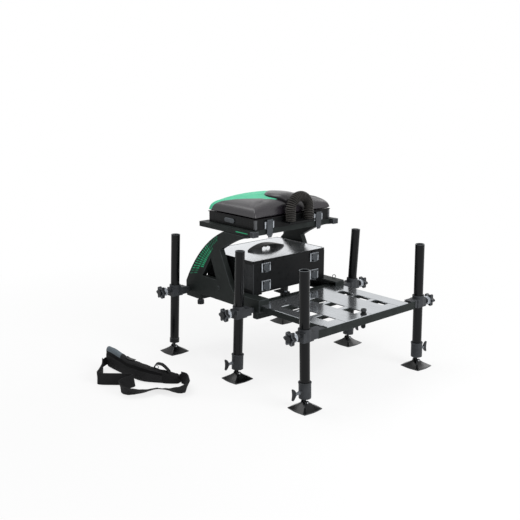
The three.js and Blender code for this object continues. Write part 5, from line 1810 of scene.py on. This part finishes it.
@dataclass
class CarryStrap:
    """The loose carry strap: padded shoulder piece, webbing, handle loop and buckle."""

    start_x: float = -760
    span: float = 500
    height: float = 88
    thickness: float = 28
    pad_sides: int = 32
    pad_steps: int = 72
    seam_columns: tuple[int, ...] = (2, 14)
    seam_depth: float = 2.4
    blow_cap: float = 4
    web_height: float = 46
    web_half: float = 1.3
    web_steps: int = 180
    pad_path: Path = (
        (0.318, 0.88), (0.316, 0.85), (0.316, 0.77), (0.32, 0.662), (0.326, 0.57), (0.336, 0.48),
        (0.356, 0.416), (0.396, 0.36), (0.434, 0.312), (0.476, 0.264), (0.512, 0.228), (0.534, 0.208),
    )
    pad_tall: tuple[float, ...] = (0.86, 0.98, 1.0, 0.93, 0.82, 0.85, 0.8, 0.69, 0.6, 0.5, 0.43, 0.39)
    pad_thick: tuple[float, ...] = (0.7, 0.95, 1, 1, 1, 1, 1, 1, 0.96, 0.86, 0.57, 0.22)
    web_path: Path = (
        (0.248, 0.848), (0.184, 0.744), (0.11, 0.66), (0.064, 0.612), (0.076, 0.576), (0.12, 0.532),
        (0.17, 0.486), (0.216, 0.444), (0.244, 0.414), (0.236, 0.39), (0.184, 0.384), (0.12, 0.374),
        (0.094, 0.332), (0.098, 0.276), (0.132, 0.24), (0.176, 0.218), (0.228, 0.204), (0.28, 0.204),
        (0.32, 0.196), (0.344, 0.156), (0.36, 0.096), (0.388, 0.048), (0.424, 0.03), (0.464, 0.036),
        (0.504, 0.088), (0.54, 0.152), (0.5372, 0.2072),
    )
    web_lean: tuple[float, ...] = (
        0, 0, 0, 0, 0, 0, 0, 5, 10, 10, 8, 5, 15, 30, 42, 52, 58, 62, 66, 66, 55, 42, 30, 22, 15, 8, 0,
    )

    def build(self) -> None:
        """Makes the strap."""
        self.pad()
        self.webbing()
        self.binding()
        self.handle_loop()
        self.wrap()
        self.buckle()

    def flow(self, path: Sequence[Sequence[Number]], share: float) -> Vector:
        """A point of a smooth curve through the rows of a table, with a share from 0 to 1 along it.

        Args:
            path: The table's rows.
            share: Where along the curve.

        Returns:
            The point.
        """
        place = min(max(share, 0.0), 1.0) * (len(path) - 1)
        index = min(int(place), len(path) - 2)
        t = place - index
        rows = [Vector(path[min(max(index + k, 0), len(path) - 1)]) for k in (-1, 0, 1, 2)]
        bend = (rows[2] - rows[0]) * t + (rows[0] * 2 - rows[1] * 5 + rows[2] * 4 - rows[3]) * t ** 2
        return rows[1] + (bend + (rows[1] * 3 - rows[0] - rows[2] * 3 + rows[3]) * t ** 3) / 2

    def spot(self, path: Sequence[Sequence[Number]], share: float) -> tuple[Vector, Vector]:
        """A point of a path on the floor, in millimetres, and the unit vector to its left.

        Args:
            path: The path's points, as shares of the span.
            share: Where along the path.

        Returns:
            The point, and the unit vector.
        """
        here = self.flow(path, share) * self.span + Vector((self.start_x, 0))
        ahead = self.flow(path, min(share + 0.004, 1)) - self.flow(path, max(share - 0.004, 0))
        along = ahead.normalized()
        return here, Vector((-along.y, along.x))

    def level(self, values: Sequence[float], share: float) -> float:
        """The value between the entries of a list at a share along it.

        Args:
            values: The list.
            share: Where along it, from 0 to 1.

        Returns:
            The value.
        """
        place = min(max(share, 0.0), 1.0) * (len(values) - 1)
        index = min(int(place), len(values) - 2)
        t = place - index
        t = t * t * (3 - 2 * t)
        return values[index] * (1 - t) + values[index + 1] * t

    def pad_point(self, share: float, turn: float, grow: float = 0.0) -> Vector:
        """A point on the pad's skin.

        Args:
            share: 0 at the upper left end and 1 at the lower right end.
            turn: Angle round the section, 0 on its right and a quarter turn at the top, in radians.
            grow: How far outside the skin, in millimetres.

        Returns:
            The point, in metres.
        """
        here, left = self.spot(self.pad_path, share)
        tall = self.height * self.level(self.pad_tall, share)
        thick = self.thickness * self.level(self.pad_thick, share)
        c, s = math.cos(turn), math.sin(turn)
        wide = math.copysign(abs(c) ** 0.75, c) * (thick / 2 + grow)
        up = math.copysign(abs(s) ** 0.75, s) * (tall / 2 + grow)
        lean = 5 * (0.5 + up / tall) * math.sin(math.pi * share)
        x, y = here - left * (wide + lean)
        return at(x, y, max(tall / 2 + up, 0.4))

    def pad(self) -> None:
        """The padded shoulder piece with a sewn line along it and a grey patch at its upper end."""
        rings = []
        sides = self.pad_sides
        for k in range(self.pad_steps + 1):
            share = k / self.pad_steps
            ring = []
            for i in range(sides):
                turn = 2 * math.pi * i / sides
                sunk = -self.seam_depth if i in self.seam_columns else 0
                end = min(1.0, 0.45 + 8 * min(share, 1 - share))
                middle = self.pad_point(share, math.pi / 2, -self.height * 0.3)
                ring.append(middle.lerp(self.pad_point(share, turn, sunk), end))
            rings.append(ring)
        piece = BENCH.loft("strap_pad_dressed", rings)
        floor_points = [v.index for v in piece.data.vertices if v.co.z < 0.004]
        seams = [k * sides + i for k in range(self.pad_steps + 1) for i in self.seam_columns]
        BENCH.blow(piece, floor_points + seams, self.blow_cap)
        SHOP.paint(piece, CLOTH, CLOTH_EDGE, CLOTH_GREY)
        for index, face in enumerate(piece.data.polygons[: self.pad_steps * sides]):
            row, column = divmod(index, sides)
            if column in (1, 2, 13, 14) or row < 2:
                face.material_index = 1
            elif row < 20 and 2 < column < 13:
                face.material_index = 2
        BENCH.apply(piece, "SUBSURF", levels=1, render_levels=1)
        BENCH.smooth(piece, 70)
        SHOP.fit(piece, "carry_strap", "strap", "strap_pad")

    def webbing(self) -> None:
        """The webbing, upright at its bends and leaning over between them."""
        rings = []
        for k in range(self.web_steps + 1):
            share = k / self.web_steps
            here, left = self.spot(self.web_path, share)
            lean = math.radians(self.level(self.web_lean, share))
            tall = self.web_height * math.cos(lean)
            wide = self.web_height * math.sin(lean)
            ring = []
            for across, up in ((-1, 0), (-1, 0.5), (-1, 1), (1, 1), (1, 0.5), (1, 0)):
                bow = 1.2 * (1 - (2 * up - 1) ** 2)
                offset = left * ((0.5 - up) * wide + bow + across * self.web_half)
                x, y = here + offset
                z = 0.3 + max(up * tall + (1 + across) * self.web_half * math.sin(lean), 0)
                ring.append(at(x, y, z))
            rings.append(ring)
        piece = BENCH.loft("strap_webbing_dressed", rings)
        SHOP.paint(piece, WEBBING)
        BENCH.smooth(piece, 40)
        SHOP.fit(piece, "carry_strap", "strap", "strap_webbing")

    def ribbon(self, name: str, line: Sequence[Vector], across: Vector, half: Number) -> Piece:
        """A flat band along a line.

        Args:
            name: The piece's name.
            line: Points of its middle, in metres.
            across: Unit vector of its width.
            half: Half its width, in millimetres.

        Returns:
            The piece.
        """
        rings = []
        for k, point in enumerate(line):
            ahead = line[min(k + 1, len(line) - 1)] - line[max(k - 1, 0)]
            lift = across.cross(ahead).normalized() * (0.9 * MM)
            wide = across * (half * MM)
            rings.append([point - wide - lift, point + wide - lift, point + wide + lift, point - wide + lift])
        piece = BENCH.loft(name, rings)
        SHOP.paint(piece, WEBBING)
        BENCH.smooth(piece, 40)
        return piece

    def binding(self) -> None:
        """The webbing tabs that join the pad's two ends to the long webbing."""
        for name, web_share, pad_share, low, high in (("upper", 0, 0.02, 24, 27), ("lower", 1, 0.95, 23, 19)):
            begin, _ = self.spot(self.web_path, web_share)
            end, _ = self.spot(self.pad_path, pad_share)
            start, stop = at(begin.x, begin.y, low), at(end.x, end.y, high)
            line = [start.lerp(stop, t / 8) for t in range(9)]
            tab = self.ribbon(f"strap_{name}_tab", line, Vector((0, 0, 1)), 16)
            SHOP.fit(tab, "carry_strap", "strap")

    def handle_loop(self) -> None:
        """The webbing handle that arches over the pad, and the small ring under its upper end."""
        line = []
        for k in range(25):
            t = k / 24
            foot = self.pad_point(0.65 + 0.17 * t, math.pi / 2, -1)
            line.append(foot + Vector((0, 0, 0.024 * math.sin(math.pi * t ** 0.7) ** 0.7)))
        along = (line[-1] - line[0]).normalized()
        across = Vector((0, 0, 1)).cross(along).normalized()
        loop = self.ribbon("strap_handle_loop", line, across, 12)
        SHOP.fit(loop, "carry_strap", "strap")
        spot = self.pad_point(0.675, math.pi / 2, 5)
        ring = BENCH.ring("strap_ring", 7, 1.2, spot, turn=-42, steps=(32, 10))
        SHOP.paint(ring, HANDLE_EDGE)
        BENCH.smooth(ring, 60)
        SHOP.fit(ring, "carry_strap", "steel")

    def wrap(self) -> None:
        """The sewn sleeve round the pad's lower end."""
        rings = []
        for k in range(9):
            share = 0.74 + 0.2 * k / 8
            grow = 1.8 if 0 < k < 8 else 0.2
            turns = [2 * math.pi * i / self.pad_sides for i in range(self.pad_sides)]
            rings.append([self.pad_point(share, turn, grow) for turn in turns])
        sleeve = BENCH.loft("strap_sleeve", rings)
        SHOP.paint(sleeve, WEBBING)
        BENCH.smooth(sleeve, 60)
        SHOP.fit(sleeve, "carry_strap", "strap")

    def buckle(self) -> None:
        """The slide buckle on the pad's upper edge."""
        line = [self.pad_point(0.33 + 0.1 * t / 6, math.pi / 2, 0.5) for t in range(7)]
        along = (line[-1] - line[0]).normalized()
        across = Vector((0, 0, 1)).cross(along).normalized()
        bar = self.ribbon("strap_slide_buckle", [p + Vector((0, 0, 0.002)) for p in line], across, 7)
        SHOP.paint(bar, HANDLE)
        SHOP.fit(bar, "carry_strap", "steel")


@dataclass
class Stage:
    """Floor, lamps, surroundings and camera."""

    azimuth: float = -41.5
    elevation: float = 13.4
    lens: float = 54.367
    camera_at: tuple[float, float, float] = (-2085.9, -2139.3, 1123.4)
    floor_radius: float = 16

    def build(self) -> None:
        """Sets the stage."""
        self.floor()
        self.surroundings()
        self.lamp("front", (300, -2500, 1500), (0, 0, 380), 1.5, 44)
        self.lamp("top", (-700, 900, 2500), (0, 60, 300), 1.8, 26)
        self.lamp("right", (2400, 200, 1500), (0, 0, 350), 1.2, 14)
        self.camera()
        scene = bpy.context.scene
        scene.view_settings.view_transform = "Standard"

    def floor(self) -> None:
        """The pale floor, which fades into the white surroundings."""
        BENCH.clear()
        bpy.ops.mesh.primitive_circle_add(vertices=96, radius=self.floor_radius, fill_type="NGON")
        floor = BENCH.settle("floor")
        material = bpy.data.materials.new("floor_white")
        material.use_nodes = True
        graph = Graph(material.node_tree)
        distance = graph.out(graph.node("VectorMath", {"operation": "LENGTH"}, at__0=graph.place()), "Value")
        far = graph.range(distance, 0.7, 2.0)
        paint = graph.out(graph.node("BsdfDiffuse", None, Color=(0.9, 0.9, 0.9, 1)))
        glow = graph.out(graph.node("Emission", None, Color=(1, 1, 1, 1), Strength=1.0))
        share = self.seen(graph) * (far * 0.22 + 0.78)
        mixed = graph.node("MixShader", None, Fac=share, at__1=paint, at__2=glow)
        graph.node("OutputMaterial", None, Surface=graph.out(mixed))
        floor.data.materials.append(material)

    def seen(self, graph: Graph) -> Wire:
        """1 for rays that the camera, a reflection or glass sends out, else 0.

        Args:
            graph: The graph of a material or of the world.

        Returns:
            The value, as a wire.
        """
        path = graph.node("LightPath")
        kinds = ("Camera", "Glossy", "Transmission")
        seen, mirrored, through = (graph.out(path, f"Is {kind} Ray") for kind in kinds)
        return graph.math("MINIMUM", seen + mirrored + through, 1.0)

    def surroundings(self) -> None:
        """White where it is seen, and a soft even light on the object."""
        world = bpy.data.worlds.new("studio")
        world.use_nodes = True
        bpy.context.scene.world = world
        graph = Graph(world.node_tree)
        seen = self.seen(graph)
        white = graph.out(graph.node("Background", None, Color=(1, 1, 1, 1), Strength=1.0))
        soft = graph.out(graph.node("Background", None, Color=(1, 1, 1, 1), Strength=0.5))
        mixed = graph.node("MixShader", None, Fac=seen, at__1=soft, at__2=white)
        graph.node("OutputWorld", None, Surface=graph.out(mixed))

    def lamp(
        self, name: str, place: Sequence[Number], target: Sequence[Number], size: float, power: float,
    ) -> None:
        """A soft lamp that faces a target.

        Args:
            name: The lamp's name.
            place: Where it stands, in millimetres.
            target: What it faces, in millimetres.
            size: Its side, in metres.
            power: In watts.
        """
        light = bpy.data.lights.new(name, "AREA")
        light.size = size
        light.energy = power
        lamp = bpy.data.objects.new(name, light)
        bpy.context.scene.collection.objects.link(lamp)
        lamp.location = at(*place)
        lamp.rotation_euler = (at(*target) - at(*place)).to_track_quat("-Z", "Y").to_euler()

    def camera(self) -> None:
        """The camera at the photograph's place and angle."""
        data = bpy.data.cameras.new("camera")
        data.lens = self.lens
        data.sensor_width = 36
        data.clip_end = 100
        camera = bpy.data.objects.new("camera", data)
        bpy.context.scene.collection.objects.link(camera)
        a, e = math.radians(self.azimuth), math.radians(self.elevation)
        back = Vector((math.sin(a) * math.cos(e), -math.cos(a) * math.cos(e), math.sin(e)))
        camera.location = at(*self.camera_at)
        camera.rotation_euler = back.to_track_quat("Z", "Y").to_euler()
        bpy.context.scene.camera = camera


def main() -> None:
    """Builds the sub-assemblies in order."""
    logging.basicConfig(level=logging.INFO, format="%(name)s: %(message)s")
    Stage().build()
    for part in (Legs(), BaseFrame(), SeatUnit(), TackleCase(), Footplate(), CarryStrap()):
        before = Shop.count
        part.build()
        LOG.info("%s: %d pieces", type(part).__name__, Shop.count - before)


if __name__ == "__main__":
    main()
